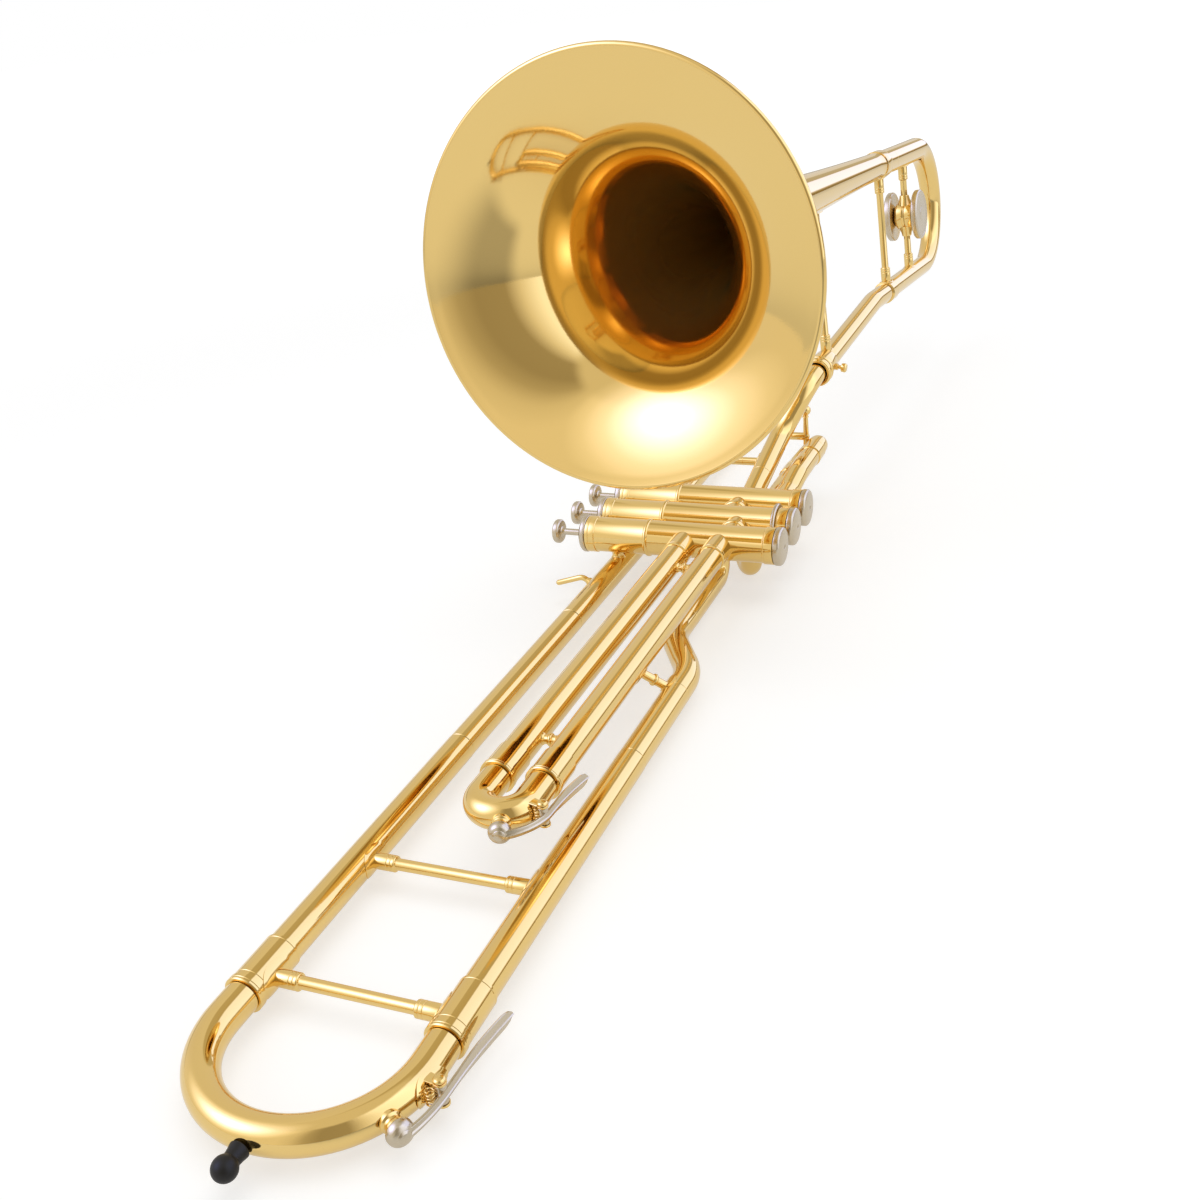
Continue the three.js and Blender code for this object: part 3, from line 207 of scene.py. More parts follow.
finishes = {"brass": brassFinish("lacqueredBrass")}
for slot, look in plainLooks.items():
    finishes[slot] = plainFinish(look)
print("stage: finishes")


# Mesh tools
def finished(name, mesh, body, node, finish="brass", sharp=38):
    mesh.name = name
    mesh.shade_smooth()
    mesh.set_sharp_from_angle(angle=math.radians(sharp))
    piece = bpy.data.objects.new(name, mesh)
    bpy.context.scene.collection.objects.link(piece)
    mesh.materials.clear()
    mesh.materials.append(finishes[finish])
    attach(piece, body)
    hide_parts(node)
    return piece


cornerRound = {"most": 0.45, "least": 0.01, "straight": -0.97, "shares": (0, 0.33, 0.67, 1)}


def softened(profile, reach, closed, size=cornerRound):
    # Rounds each corner of a turned outline, so that its edges catch the light
    points = [Vector(p) for p in profile]
    result = []
    for i, corner in enumerate(points):
        toBefore, toAfter = points[i - 1] - corner, points[(i + 1) % len(points)] - corner
        cut = min(reach, toBefore.length * size["most"], toAfter.length * size["most"])
        atPole = not closed and i in (0, len(points) - 1)
        straight = toBefore.normalized().dot(toAfter.normalized()) < size["straight"]
        if atPole or straight or cut < size["least"]:
            result.append(corner)
            continue
        start, end = corner + toBefore.normalized() * cut, corner + toAfter.normalized() * cut
        for share in size["shares"]:
            result.append(start * (1 - share) ** 2 + corner * 2 * share * (1 - share) + end * share ** 2)
    return result


def turnedMesh(profile, start, axis, sides=72, soften=0.25):
    # An outline of (radius, distance) turned about an axis: closed on itself, or run from pole to pole
    closed = profile[0][0] > 0
    points = softened(profile, soften, closed)
    loop = points if closed else points + [points[0]]
    if sum(a.x * b.y - b.x * a.y for a, b in zip(loop, loop[1:] + loop[:1])) < 0:
        points.reverse()
    axis = Vector(axis).normalized()
    across = axis.orthogonal().normalized()
    other = axis.cross(across)
    start = Vector(start)
    verts, rows = [], []
    for radius, distance in points:
        if radius < tiny:
            rows.append([len(verts)] * sides)
            verts.append(asMetres(start + axis * distance))
            continue
        rows.append(range(len(verts), len(verts) + sides))
        for k in range(sides):
            angle = 2 * math.pi * k / sides
            spoke = across * math.cos(angle) + other * math.sin(angle)
            verts.append(asMetres(start + axis * distance + spoke * radius))
    faces = []
    for low, high in list(zip(rows, rows[1:])) + ([(rows[-1], rows[0])] if closed else []):
        for k in range(sides):
            n = (k + 1) % sides
            face = [low[k], low[n], high[n], high[k]]
            face = [v for i, v in enumerate(face) if v != face[i - 1]]
            if len(face) > 2:
                faces.append(face)
    return meshOf("turned", verts, faces)


def meshOf(name, verts, faces):
    mesh = bpy.data.meshes.new(name)
    mesh.from_pydata(verts, [], faces)
    return mesh


def turned(name, profile, start, axis, body, node, finish="brass", sides=72, soften=0.25):
    return finished(name, turnedMesh(profile, start, axis, sides, soften), body, node, finish)


pathSize = {"step": 4, "fewest": 3, "pointGap": 0.01, "stationGap": 0.008}


def bentPath(corners, radii=(), step=pathSize["step"], size=pathSize):
    # Straight runs with round bends, as a list of points close together only where they bend
    corners = [Vector(c) for c in corners]
    points = [corners[0]]
    for i, radius in enumerate(radii):
        before, corner, after = corners[i:i + 3]
        arriving, leaving = (corner - before).normalized(), (after - corner).normalized()
        angle = arriving.angle(leaving)
        inward = (leaving - arriving * leaving.dot(arriving)).normalized()
        centre = corner - arriving * radius * math.tan(angle / 2) + inward * radius
        steps = max(size["fewest"], math.ceil(angle / math.radians(step)))
        for k in range(steps + 1):
            sweep = angle * k / steps
            spot = centre - inward * radius * math.cos(sweep) + arriving * radius * math.sin(sweep)
            if (spot - points[-1]).length > size["pointGap"]:
                points.append(spot)
    if (corners[-1] - points[-1]).length > size["pointGap"]:
        points.append(corners[-1])
    return points


def pathLength(points):
    return sum((b - a).length for a, b in zip(points, points[1:]))


def stationed(points, profile, gap=pathSize["stationGap"]):
    # The path's points and the profile's stations in one row, each with its radius
    travelled = [0.0]
    for a, b in zip(points, points[1:]):
        travelled.append(travelled[-1] + (b - a).length)
    stops = sorted(set(travelled) | {min(max(d, 0.0), travelled[-1]) for d, radius in profile})
    kept = []
    for stop in stops:
        if not kept or stop - kept[-1] > gap:
            kept.append(stop)
    row = []
    for stop in kept:
        i = max(k for k in range(len(travelled) - 1) if travelled[k] <= stop)
        share = (stop - travelled[i]) / (travelled[i + 1] - travelled[i])
        row.append((points[i].lerp(points[i + 1], share), radiusAt(profile, stop)))
    return row


def radiusAt(profile, distance):
    if distance <= profile[0][0]:
        return profile[0][1]
    for (d1, r1), (d2, r2) in zip(profile, profile[1:]):
        if distance <= d2:
            return r1 + (r2 - r1) * (distance - d1) / max(d2 - d1, tiny)
    return profile[-1][1]


def tubeTree():
    # A round section swept along a curve, as wide as the curve's own radius says
    tree = bpy.data.node_groups.new("tubeAlongPath", "GeometryNodeTree")
    for name, way, kind in (("Path", "INPUT", "Geometry"), ("Sides", "INPUT", "Int"),
                            ("Finish", "INPUT", "Material"), ("Tube", "OUTPUT", "Geometry")):
        tree.interface.new_socket(name, in_out=way, socket_type="NodeSocket" + kind)
    given, result = tree.nodes.new("NodeGroupInput"), tree.nodes.new("NodeGroupOutput")
    section, width, sweep, real, painted = (tree.nodes.new("GeometryNode" + kind) for kind in (
        "CurvePrimitiveCircle", "InputRadius", "CurveToMesh", "RealizeInstances", "SetMaterial"))
    section.inputs["Radius"].default_value = 1.0
    sweep.inputs["Fill Caps"].default_value = True
    for source, output, target, slot in (
            (given, "Path", sweep, "Curve"), (given, "Sides", section, "Resolution"),
            (section, "Curve", sweep, "Profile Curve"), (width, 0, sweep, "Scale"),
            (sweep, "Mesh", real, 0), (real, 0, painted, "Geometry"),
            (given, "Finish", painted, "Material"), (painted, 0, result, "Tube")):
        tree.links.new(source.outputs[output], target.inputs[slot])
    return tree


sweepTree = tubeTree()
socketOf = {item.name: item.identifier for item in sweepTree.interface.items_tree if item.in_out == "INPUT"}


def sweptMesh(row, sides=56, finish="brass"):
    curve = bpy.data.curves.new("path", "CURVE")
    curve.dimensions = "3D"
    spline = curve.splines.new("POLY")
    spline.points.add(len(row) - 1)
    for point, (spot, radius) in zip(spline.points, row):
        point.co = (*asMetres(spot), 1)
        point.radius = radius * mm
    holder = bpy.data.objects.new("path", curve)
    bpy.context.scene.collection.objects.link(holder)
    sweep = holder.modifiers.new("sweep", "NODES")
    sweep.node_group = sweepTree
    sweep[socketOf["Sides"]] = sides
    sweep[socketOf["Finish"]] = finishes[finish]
    graph = bpy.context.evaluated_depsgraph_get()
    mesh = bpy.data.meshes.new_from_object(holder.evaluated_get(graph), depsgraph=graph)
    holder.modifiers.remove(sweep)
    bpy.data.objects.remove(holder)
    bpy.data.curves.remove(curve)
    return mesh


def joinedMesh(*meshes):
    verts, faces = [], []
    for mesh in meshes:
        base = len(verts)
        verts += [v.co.copy() for v in mesh.vertices]
        faces += [[base + i for i in polygon.vertices] for polygon in mesh.polygons]
    return meshOf("joined", verts, faces)


patchSize = {"thickness": 0.45, "edge": 0.55, "sunk": 0.3, "rings": 6, "spokes": 36}


def saddlePatch(centre, along, out, tubeRadius, halfLength, halfWidth, size=patchSize):
    # A thin oval plate that lies on a tube under the end of a brace
    along, out = Vector(along).normalized(), Vector(out).normalized()
    out = (out - along * out.dot(along)).normalized()
    across = along.cross(out)
    thick, rings, spokes = size["thickness"], size["rings"], size["spokes"]
    verts, faces = [], []
    for step, height in enumerate([thick] * rings + [thick * size["edge"], -size["sunk"]]):
        share = min(step / rings, 1.0)
        for k in range(spokes):
            angle = 2 * math.pi * k / spokes
            turn = halfWidth * share * math.sin(angle) / tubeRadius
            spoke = out * math.cos(turn) + across * math.sin(turn)
            spot = Vector(centre) + along * (halfLength * share * math.cos(angle))
            verts.append(asMetres(spot + spoke * (tubeRadius + height)))
    for step in range(rings + 1):
        a, b = step * spokes, (step + 1) * spokes
        for k in range(spokes):
            n = (k + 1) % spokes
            faces.append([a + k, b + k, b + n, a + n])
    faces.append([(rings + 1) * spokes + k for k in reversed(range(spokes))])
    return meshOf("saddle", verts, faces)


# Outlines along a tube are rows of (distance, radius). A turned outline has rows of (radius, distance), and
# swap makes one of the other.
def swap(stations):
    return [(radius, distance) for distance, radius in stations]


def ring(radius, tubeRadius, centre, width, steps=8):
    # A round bead standing on a tube
    rise = radius - tubeRadius
    stations = []
    for k in range(steps + 1):
        across = math.cos(math.pi * (1 - k / steps))
        stations.append((centre + width / 2 * across, tubeRadius + rise * math.sin(math.pi * k / steps)))
    return stations


def groove(radius, centre, width=0.35, depth=0.16):
    return [(centre - width / 2, radius), (centre, radius - depth), (centre + width / 2, radius)]


def lipped(tubeRadius, radius, width, end):
    # A flat raised lip at a sleeve's open end, with a fine line along its middle
    stations = [(end - width - 0.2, tubeRadius), (end - width, radius)] + groove(radius, end - width * 0.45)
    return stations + [(end - 0.4, radius), (end, radius - 0.35)]


def evenly(radius, long, back, inset):
    # A tube of one radius with a small bevel at each end
    return [(0, radius - inset), (back, radius), (long - back, radius), (long, radius - inset)]


legSize = {"wall": 0.6, "run": 3, "sides": 48}


def legMesh(end, direction, radius, length, run=legSize["run"], bevel=0.0, soften=0.0, size=legSize):
    # A bow's inner leg, which slides in the outer tube. It starts a little inside the bow.
    inner = radius - size["wall"]
    tip = [(radius, length - bevel), (radius - bevel, length)] if bevel else [(radius, length)]
    profile = [(inner, -run), (radius, -run)] + tip + [(inner, length)]
    return turnedMesh(profile, end, direction, size["sides"], soften)


def bowParts(left, right, away, gap, radius, leg, legLength, edge=(0.3, 0.3), run=legSize["run"],
             legBevel=0.2):
    # A round bow and its two inner legs. The bow starts the gap short of left and right and turns past them.
    left, right, away = Vector(left), Vector(right), Vector(away)
    reach = (right - left).length / 2
    corners = [left - away * gap, left + away * reach, right + away * reach, right - away * gap]
    points = bentPath(corners, [reach, reach])
    bow = sweptMesh(stationed(points, evenly(radius, pathLength(points), *edge)))
    return [bow] + [legMesh(end, -away, leg, legLength, run, legBevel) for end in (corners[0], corners[3])]


print("stage: tools")

# Bell, with its rolled rim and stem
bellSize = {"mouth": 102, "wall": 0.8, "bead": 1.9, "length": 484, "shift": 25.4, "power": 0.79,
            "ferrule": 14, "ferruleRadius": 10.5, "bore": 8.7, "seam": 1.6, "yaw": -3.1, "pitch": 3.4,
            "lean": 5, "rings": 64, "crowding": 2.2, "innerRim": 0.75, "curl": range(-165, 121, 15),
            "sides": 144, "soften": 0.12}
bellTurn = (Quaternion(upward, math.radians(bellSize["yaw"]))
            @ Quaternion(sideways, -math.radians(bellSize["pitch"]))
            @ Quaternion(forward, math.radians(bellSize["lean"])))
bellForward, bellSide, bellDown = bellTurn @ forward, bellTurn @ sideways, bellTurn @ -upward


def bellPoint(station, offset):
    # A place by its distance behind the mouth, and by how far it lies below the bell's axis
    return bellTurn @ Vector((-station, 0, -offset))


def flareRadius(station):
    return bellSize["mouth"] * (bellSize["shift"] / (station + bellSize["shift"])) ** bellSize["power"]


def makeBell(size=bellSize):
    collar, bead, rear = size["ferruleRadius"], size["bead"], -size["length"]
    stemEnd = size["length"] - size["ferrule"]
    outside, inside = [], []
    for k in range(1, size["rings"] + 1):
        station = stemEnd * (k / size["rings"]) ** size["crowding"]
        radius = flareRadius(station)
        slope = -size["power"] * radius / (station + size["shift"])
        depth = size["wall"] / math.hypot(1, slope)
        if station > bead:
            outside.append((radius, -station))
        if station > bead * size["innerRim"]:
            inside.append((radius - depth, -station - depth * slope))
    rim = []
    for degrees in size["curl"]:
        angle = math.radians(degrees)
        rim.append((size["mouth"] - bead * (1 - math.cos(angle)), bead * (math.sin(angle) - 1)))
    seams = swap(groove(collar, rear + size["seam"]) + groove(collar, -stemEnd - size["seam"]))
    ferrule = [(size["bore"], -stemEnd), (size["bore"], rear), (collar, rear), *seams, (collar, -stemEnd)]
    profile = ferrule + outside[::-1] + rim + inside
    piece = turned("bell_body", profile, (0, 0, 0), bellForward, "instrument", "bell", sides=size["sides"],
                   soften=size["soften"])
    markThroat(piece.data)


def markThroat(mesh, size=bellSize, look=brassLook):
    # Marks how deep each place of the inner wall lies, for the painted shade that the finish lays down the
    # throat
    depths = mesh.attributes.new("throat", "FLOAT", "POINT")
    near, far = look["throat"]
    for vertex in mesh.vertices:
        offset = (vertex.co - origin) / mm
        station = -offset.dot(bellForward)
        radius = (offset + bellForward * station).length
        inner = 0 < station < size["length"] and radius < flareRadius(station) - size["wall"] / 2
        depths.data[vertex.index].value = min(max((station - near) / (far - near), 0), 1) if inner else 0


makeBell()
print("stage: bell")

# Rear bow, neck and the socket that holds the bell section
neckSize = {"offset": 94, "radius": 7.2, "bend": 436, "bendRadius": 90, "front": 292, "frontOffset": 112,
            "bendStep": 1, "ferrule": 14, "ferruleRadius": 8.3, "bevel": 0.3, "seam": 1.6, "step": 0.35,
            "sides": 48}
socketSize = {"length": 24, "radius": 8.7, "overlap": 0.75, "gap": 0.3, "mouthBevel": 0.6, "taperEnd": 0.45,
              "seam": 0.5, "flatEnd": 0.6, "bead": 9.9, "beads": ((0.7, 3), (0.87, 5)), "screwAt": 0.3,
              "screwLean": 0.2, "screwSunk": 0.5,
              "screw": ((0, 0), (2.2, 0), (2.2, 2.2), (1.3, 2.6), (1.3, 4.4), (2.9, 4.8), (3.1, 7.2),
                        (2.4, 8.1), (0, 8.2))}
rearBowSize = {"stem": 9.2, "neck": 7.3, "reach": 595, "leg": 40, "legStem": 8.4, "legNeck": 6.2, "gap": 0.3,
               "bevel": 0.25, "bevelLength": 0.3, "seam": 22, "bendStep": 3}
neckEnd = bellPoint(neckSize["front"], neckSize["frontOffset"])
neckForward = (neckEnd - bellPoint(neckSize["bend"], neckSize["offset"])).normalized()


def makeNeck(size=neckSize):
    start, bend = (bellPoint(station, size["offset"]) for station in (bellSize["length"], size["bend"]))
    points = bentPath([start, bend, neckEnd], [size["bendRadius"]], size["bendStep"])
    wide, thin, end, bevel = size["ferruleRadius"], size["radius"], size["ferrule"], size["bevel"]
    profile = [(0, wide - bevel), (bevel, wide)] + groove(wide, size["seam"])
    profile += groove(wide, end - size["seam"]) + [(end, wide), (end + size["step"], thin)]
    finished("neck_tube", sweptMesh(stationed(points, profile), size["sides"]), "instrument", "neck_pipe")


def makeSocket(size=socketSize):
    start = neckEnd + neckForward * (size["gap"] - size["length"] * size["overlap"])
    long, wide = size["length"], size["radius"]
    outer = [(0, wide - size["mouthBevel"]), (long * size["taperEnd"], wide)]
    outer += groove(wide, long * size["seam"]) + [(long * size["flatEnd"], wide)]
    for share, width in size["beads"]:
        outer += ring(size["bead"], wide, long * share, width)
    bore = neckSize["radius"] + size["gap"]
    profile = swap(outer) + [(wide, long), (bore, long), (bore, 0)]
    collar = turnedMesh(profile, start, neckForward, sides=64, soften=0.15)
    screwOut = (bellSide + bellDown * size["screwLean"]).normalized()
    screwRoot = start + neckForward * long * size["screwAt"] + screwOut * (wide - size["screwSunk"])
    screw = turnedMesh(size["screw"], screwRoot, screwOut, sides=32, soften=0.2)
    finished("socket_collar", joinedMesh(collar, screw), "instrument", "bell_socket")


def makeRearBow(size=rearBowSize):
    front, reach, offset = bellSize["length"] + size["gap"], neckSize["offset"] / 2, neckSize["offset"]
    turnAt = size["reach"] + reach
    corners = [bellPoint(*place) for place in ((front, 0), (turnAt, 0), (turnAt, offset), (front, offset))]
    points = bentPath(corners, [reach, reach], size["bendStep"])
    long, leg = pathLength(points), size["reach"] - front
    stem, neck, seam = size["stem"], size["neck"], size["seam"]
    bevel, back = size["bevel"], size["bevelLength"]
    profile = [(0, stem - bevel), (back, stem)] + groove(stem, seam) + [(leg, stem), (long - leg, neck)]
    profile += groove(neck, long - seam) + [(long - back, neck), (long, neck - bevel)]
    legs = [legMesh(bellPoint(front, down), bellForward, radius, size["leg"], soften=0.1)
            for down, radius in ((0, size["legStem"]), (offset, size["legNeck"]))]
    bow = sweptMesh(stationed(points, profile))
    finished("rear_bow_tube", joinedMesh(bow, *legs), "bell_slide", "rear_bow")


braceSize = {"socket": 3.6, "rod": 2.6, "length": 10.5, "sunk": 0.15, "rings": (3.4, 1.6), "sides": 40,
             "soften": 0.12}


def braceMesh(start, end, startRadius, endRadius, size=braceSize):
    # A rod with a ringed socket at each end, run into the tubes that it joins
    start, end = Vector(start), Vector(end)
    wide, thin, sunk = size["socket"], size["rod"], size["sunk"]
    a = math.sqrt(max(startRadius ** 2 - wide ** 2, 0)) - sunk
    b = (end - start).length - math.sqrt(max(endRadius ** 2 - wide ** 2, 0)) + sunk
    edge = a + size["length"]
    left = [station for back in size["rings"] for station in groove(wide, edge - back)]
    left += [(edge - 0.2, wide), (edge + 0.2, wide - 0.3), (edge + 0.5, thin)]
    right = [(b - (d - a), r) for d, r in reversed(left)]
    profile = [(0, a), (wide, a)] + swap(left) + swap(right) + [(wide, b), (0, b)]
    return turnedMesh(profile, start, (end - start).normalized(), size["sides"], size["soften"])


# The patches under a brace's two ends are each half as long and half as wide as given
fixedBraceSize = {"rear": 478, "rearPatches": ((6.5, 5.5), (6.5, 5.5)),
                  "throat": 312, "throatPatches": ((7.5, 6), (6.5, 5.5)), "flareGap": 0.1}


def makeFixedBraces(size=fixedBraceSize):
    stem, neck = bellSize["ferruleRadius"], neckSize["ferruleRadius"]
    top, foot = bellPoint(size["rear"], 0), bellPoint(size["rear"], neckSize["offset"])
    patches = [saddlePatch(top, bellForward, bellDown, stem, *size["rearPatches"][0]),
               saddlePatch(foot, bellForward, -bellDown, neck, *size["rearPatches"][1])]
    finished("rear_fixed_brace_rod", joinedMesh(braceMesh(top, foot, stem, neck), *patches), "instrument",
             "rear_fixed_brace")
    fall = (neckSize["frontOffset"] - neckSize["offset"]) / (neckSize["bend"] - neckSize["front"])
    station = size["throat"]
    flare, neck = flareRadius(station), neckSize["radius"]
    top = bellPoint(station, 0)
    foot = bellPoint(station, neckSize["frontOffset"] - (station - neckSize["front"]) * fall)
    patches = [saddlePatch(top, bellForward, bellDown, flare + size["flareGap"], *size["throatPatches"][0]),
               saddlePatch(foot, neckForward, -bellDown, neck, *size["throatPatches"][1])]
    finished("bell_throat_brace", joinedMesh(braceMesh(top, foot, flare, neck), *patches), "instrument",
             "bell_brace")


# The balance weights on the rear bow's brace: a round hub with a disc at each end and a cone above and below
weightSize = {"station": 552, "hub": 10, "hubLength": 16, "disc": 19, "thickness": 5, "gap": 0.3,
              "waist": 1.2, "patches": ((7, 5.5), (6.5, 5)), "boss": 5.2}


def makeBalance(size=weightSize):
    station, offset = size["station"], neckSize["offset"]
    top, middle, foot = (bellPoint(station, offset * share) for share in (0, 0.5, 1))
    half, hub, waist = size["hubLength"] / 2, size["hub"], size["waist"]
    stem, neck = rearBowSize["stem"], rearBowSize["neck"]
    drum = turnedMesh([(0, -half), (hub * 0.75, -half), (hub, -half + 2), (hub, -waist), (hub - 0.7, 0),
                       (hub, waist), (hub, half - 2), (hub * 0.75, half), (0, half)],
                      middle, bellSide, sides=64, soften=0.3)
    cone = [(0, hub * 0.6), (6.4, hub * 0.8), (4.2, hub + 3), (3.6, hub + 6), (0, hub + 6)]
    cones = [turnedMesh(cone, middle, bellDown * side, sides=40, soften=0.3) for side in (1, -1)]
    patches = [saddlePatch(top, bellForward, bellDown, stem, *size["patches"][0]),
               saddlePatch(foot, bellForward, -bellDown, neck, *size["patches"][1])]
    rod = braceMesh(top, foot, stem, neck)
    finished("balance_brace", joinedMesh(rod, drum, *cones, *patches), "bell_slide", "rear_bow_brace")
    disc, thick, boss = size["disc"], size["thickness"], size["boss"]
    face = [(0, 0), (disc - 0.8, 0), (disc, 0.8), (disc, thick - 0.9), (disc - 0.9, thick),
            (disc - 2.6, thick), (disc - 3.0, thick - 0.25), (boss, thick - 0.25), (boss - 0.4, thick),
            (0, thick)]
    for name, node, side in (("balance_disc_right", "right_balance_weight", 1),
                             ("balance_disc_left", "left_balance_weight", -1)):
        root = middle + bellSide * side * (half + size["gap"])
        turned(name, face, root, bellSide * side, "bell_slide", node, "nickel", sides=80, soften=0.3)


makeNeck()
makeSocket()
makeRearBow()
makeFixedBraces()
makeBalance()
print("stage: rear bow and neck")

# Valves
valveSize = {"third": thirdCasing["x"], "pitch": 29.6, "z": thirdCasing["z"], "radius": 10.45, "wall": 0.8,
             "top": thirdCasing["top"], "bottom": 40.5, "collar": 10.95, "collarLength": 6, "topSeam": 2.2,
             "bottomSeam": 0.9, "bead": 11.35, "beadAt": -37, "beadWidth": 2.6, "seat": 0.15}
capSize = {"radius": 11.3, "thickness": 3.6, "bottom": 5, "gap": 0.3, "thread": 1.6, "holeGap": 0.3, "run": 4,
           "soften": 0.3}
buttonSize = {"radius": 7.3, "thickness": 4.2, "stem": 2.0, "travel": 14.5, "clearance": 0.6}
knuckleSize = {"radius": 7.6, "bore": 4.7, "rise": 0.8, "beadWidth": 4.4, "rearY": 2.5, "frontY": 10.5}
landingSize = {"reach": 0.02, "cuts": 4}


def valveX(number):
    return valveSize["third"] - (3 - number) * valveSize["pitch"]


def valvePoint(number, y=0):
    return Vector((valveX(number), y, valveSize["z"]))


def landed(mesh, near, direction, number, size=landingSize):
    # Runs the tube's end, and the face that closes it, on along the tube until it meets that casing
    near, direction = asMetres(near), Vector(direction).normalized()
    centre, radius = asMetres(valvePoint(number)), (valveSize["radius"] - valveSize["seat"]) * mm
    work = bmesh.new()
    work.from_mesh(mesh)

    def atEnd():
        reach = size["reach"] * mm
        return [vertex for vertex in work.verts if abs((vertex.co - near).dot(direction)) <= reach]

    edge = set(atEnd())
    ends = [face for face in work.faces if len(face.verts) > 4 and edge.issuperset(face.verts)]
    for middle in bmesh.ops.poke(work, faces=ends)["verts"]:
        bmesh.ops.subdivide_edges(work, edges=middle.link_edges[:], cuts=size["cuts"])
    run = direction - sideways * direction.dot(sideways)
    for vertex in atEnd():
        offset = vertex.co - centre
        offset -= sideways * offset.dot(sideways)
        a, b, c = run.dot(run), 2 * run.dot(offset), offset.dot(offset) - radius ** 2
        vertex.co += direction * max((math.sqrt(max(b * b - 4 * a * c, 0)) - b) / (2 * a), 0)
    work.to_mesh(mesh)
    work.free()
    return mesh


def makeValve(number, label, size=valveSize):
    start = valvePoint(number)
    wide, collar, bore = size["radius"], size["collar"], size["radius"] - size["wall"]
    top, bottom = size["top"], size["bottom"]
    upper, lower = top + size["collarLength"], bottom - size["collarLength"]
    outer = [(top, collar)] + groove(collar, top + size["topSeam"]) + [(upper - 0.3, collar), (upper, wide)]
    outer += ring(size["bead"], wide, size["beadAt"], size["beadWidth"])
    outer += [(lower, wide), (lower + 0.2, collar)] + groove(collar, lower + size["bottomSeam"])
    outer.append((bottom, collar))
    turned(label + "_casing", swap(outer) + [(bore, bottom), (bore, top)], start, sideways, "instrument",
           label + "_valve_casing", soften=0.15)
    makeCaps(start, label)
    makeButton(start, label)


def makeCaps(start, label, size=capSize):
    wide, gap, thread = size["radius"], size["gap"], size["thread"]
    inner = valveSize["radius"] - valveSize["wall"] - gap
    top, bottom = valveSize["top"] - gap, valveSize["bottom"] + gap
    hole, face = buttonSize["stem"] + size["holeGap"], top - size["thickness"]
    run = valveSize["top"] + size["run"]
    turned(label + "_upper_cap", [
        (hole, face + 2), (hole + 1.4, face - 0.3), (4.9, face - 0.3), (5.2, face), (wide - 1.1, face),
        (wide, face + 1.1), (wide, top - 0.5), (wide - 0.5, top), (inner, top), (inner, run),
        (inner - thread, run), (inner - thread, valveSize["top"]), (hole, valveSize["top"]),
    ], start, sideways, "instrument", label + "_top_cap", "nickel", soften=size["soften"])
    end, run = bottom + size["bottom"], valveSize["bottom"] - 2
    edge = end - 0.7
    turned(label + "_lower_cap", [
        (0, end - 1.4), (1.0, end - 1.4), (1.2, end - 0.15), (1.7, end), (wide * 0.4, end - 0.1),
        (wide * 0.66, end - 0.3), (wide - 1.7, edge), (wide - 0.6, edge - 0.5), (wide, edge - 1.4),
        (wide, bottom + 0.4), (wide - 0.4, bottom), (inner, bottom), (inner, run), (inner - thread, run),
        (inner - thread, end - 1.8), (0, end - 1.8),
    ], start, sideways, "instrument", label + "_bottom_cap", "nickel", soften=size["soften"])


def makeButton(start, label, size=buttonSize):
    capTop = valveSize["top"] - capSize["gap"] - capSize["thickness"]
    inner = capTop - size["travel"] - size["clearance"]
    outer, end = inner - size["thickness"], valveSize["top"] + capSize["run"]
    wide, stem = size["radius"], size["stem"]
    turned(label + "_button", [
        (0, outer + 1.0), (wide * 0.45, outer + 0.75), (wide - 1.9, outer + 0.25), (wide - 1.3, outer),
        (wide - 0.5, outer + 0.25), (wide, outer + 1.1), (wide, inner - 1.1), (wide - 0.9, inner - 0.1),
        (wide - 2.4, inner), (stem + 1.2, inner), (stem + 0.5, inner + 0.8), (stem, inner + 2), (stem, end),
        (0, end),
    ], start, sideways, label + "_valve", label + "_finger_button", "nickel", sides=64)


for number, label in ((1, "first"), (2, "second"), (3, "third")):
    makeValve(number, label)


# The milled ring that stands proud of the second casing
valveRing = {"radius": 13.3, "width": 2.6, "notches": 90, "depth": 0.14, "gap": 0.3, "bevel": 0.8,
             "rimEnd": 0.6}


def makeValveRing(size=valveRing):
    wide, long, bevel, end = size["radius"], size["width"], size["bevel"], size["rimEnd"]
    bore = valveSize["radius"] + size["gap"]
    front = valveSize["bottom"] - valveSize["collarLength"] - size["gap"]
    profile = [(bore, 0), (wide - bevel, 0), (wide, end), (wide, long - end), (wide - bevel, long),
               (bore, long)]
    centre = valvePoint(2, front - long)
    mesh = turnedMesh(profile, centre, sideways, size["notches"] * 2)
    for vertex in mesh.vertices:
        spoke = vertex.co - asMetres(centre)
        spoke.y = 0
        turn = math.atan2(spoke.z, spoke.x) * size["notches"]
        if spoke.length > (wide - bevel / 2) * mm:
            vertex.co -= spoke.normalized() * size["depth"] * mm * (1 + math.cos(turn)) / 2
    finished("second_casing_ring", mesh, "instrument", "second_valve_ring", "nickel")


def makeKnuckle(name, node, rear, y, size=knuckleSize):
    start, long = valvePoint(rear, y), valveSize["pitch"]
    radius, bore = size["radius"], size["bore"]
    bead = ring(radius + size["rise"], radius, long / 2, size["beadWidth"])
    profile = [(0, radius)] + bead + [(long, radius)]
    mesh = turnedMesh(swap(profile) + [(bore, long), (bore, 0)], start, forward, sides=48, soften=0.0)
    landed(mesh, start, forward, rear)
    landed(mesh, valvePoint(rear + 1, y), -forward, rear + 1)
    finished(name, mesh, "instrument", node)


makeValveRing()
makeKnuckle("rear_knuckle", "first_knuckle", 1, knuckleSize["rearY"])
makeKnuckle("front_knuckle", "second_knuckle", 2, knuckleSize["frontY"])
print("stage: valves")

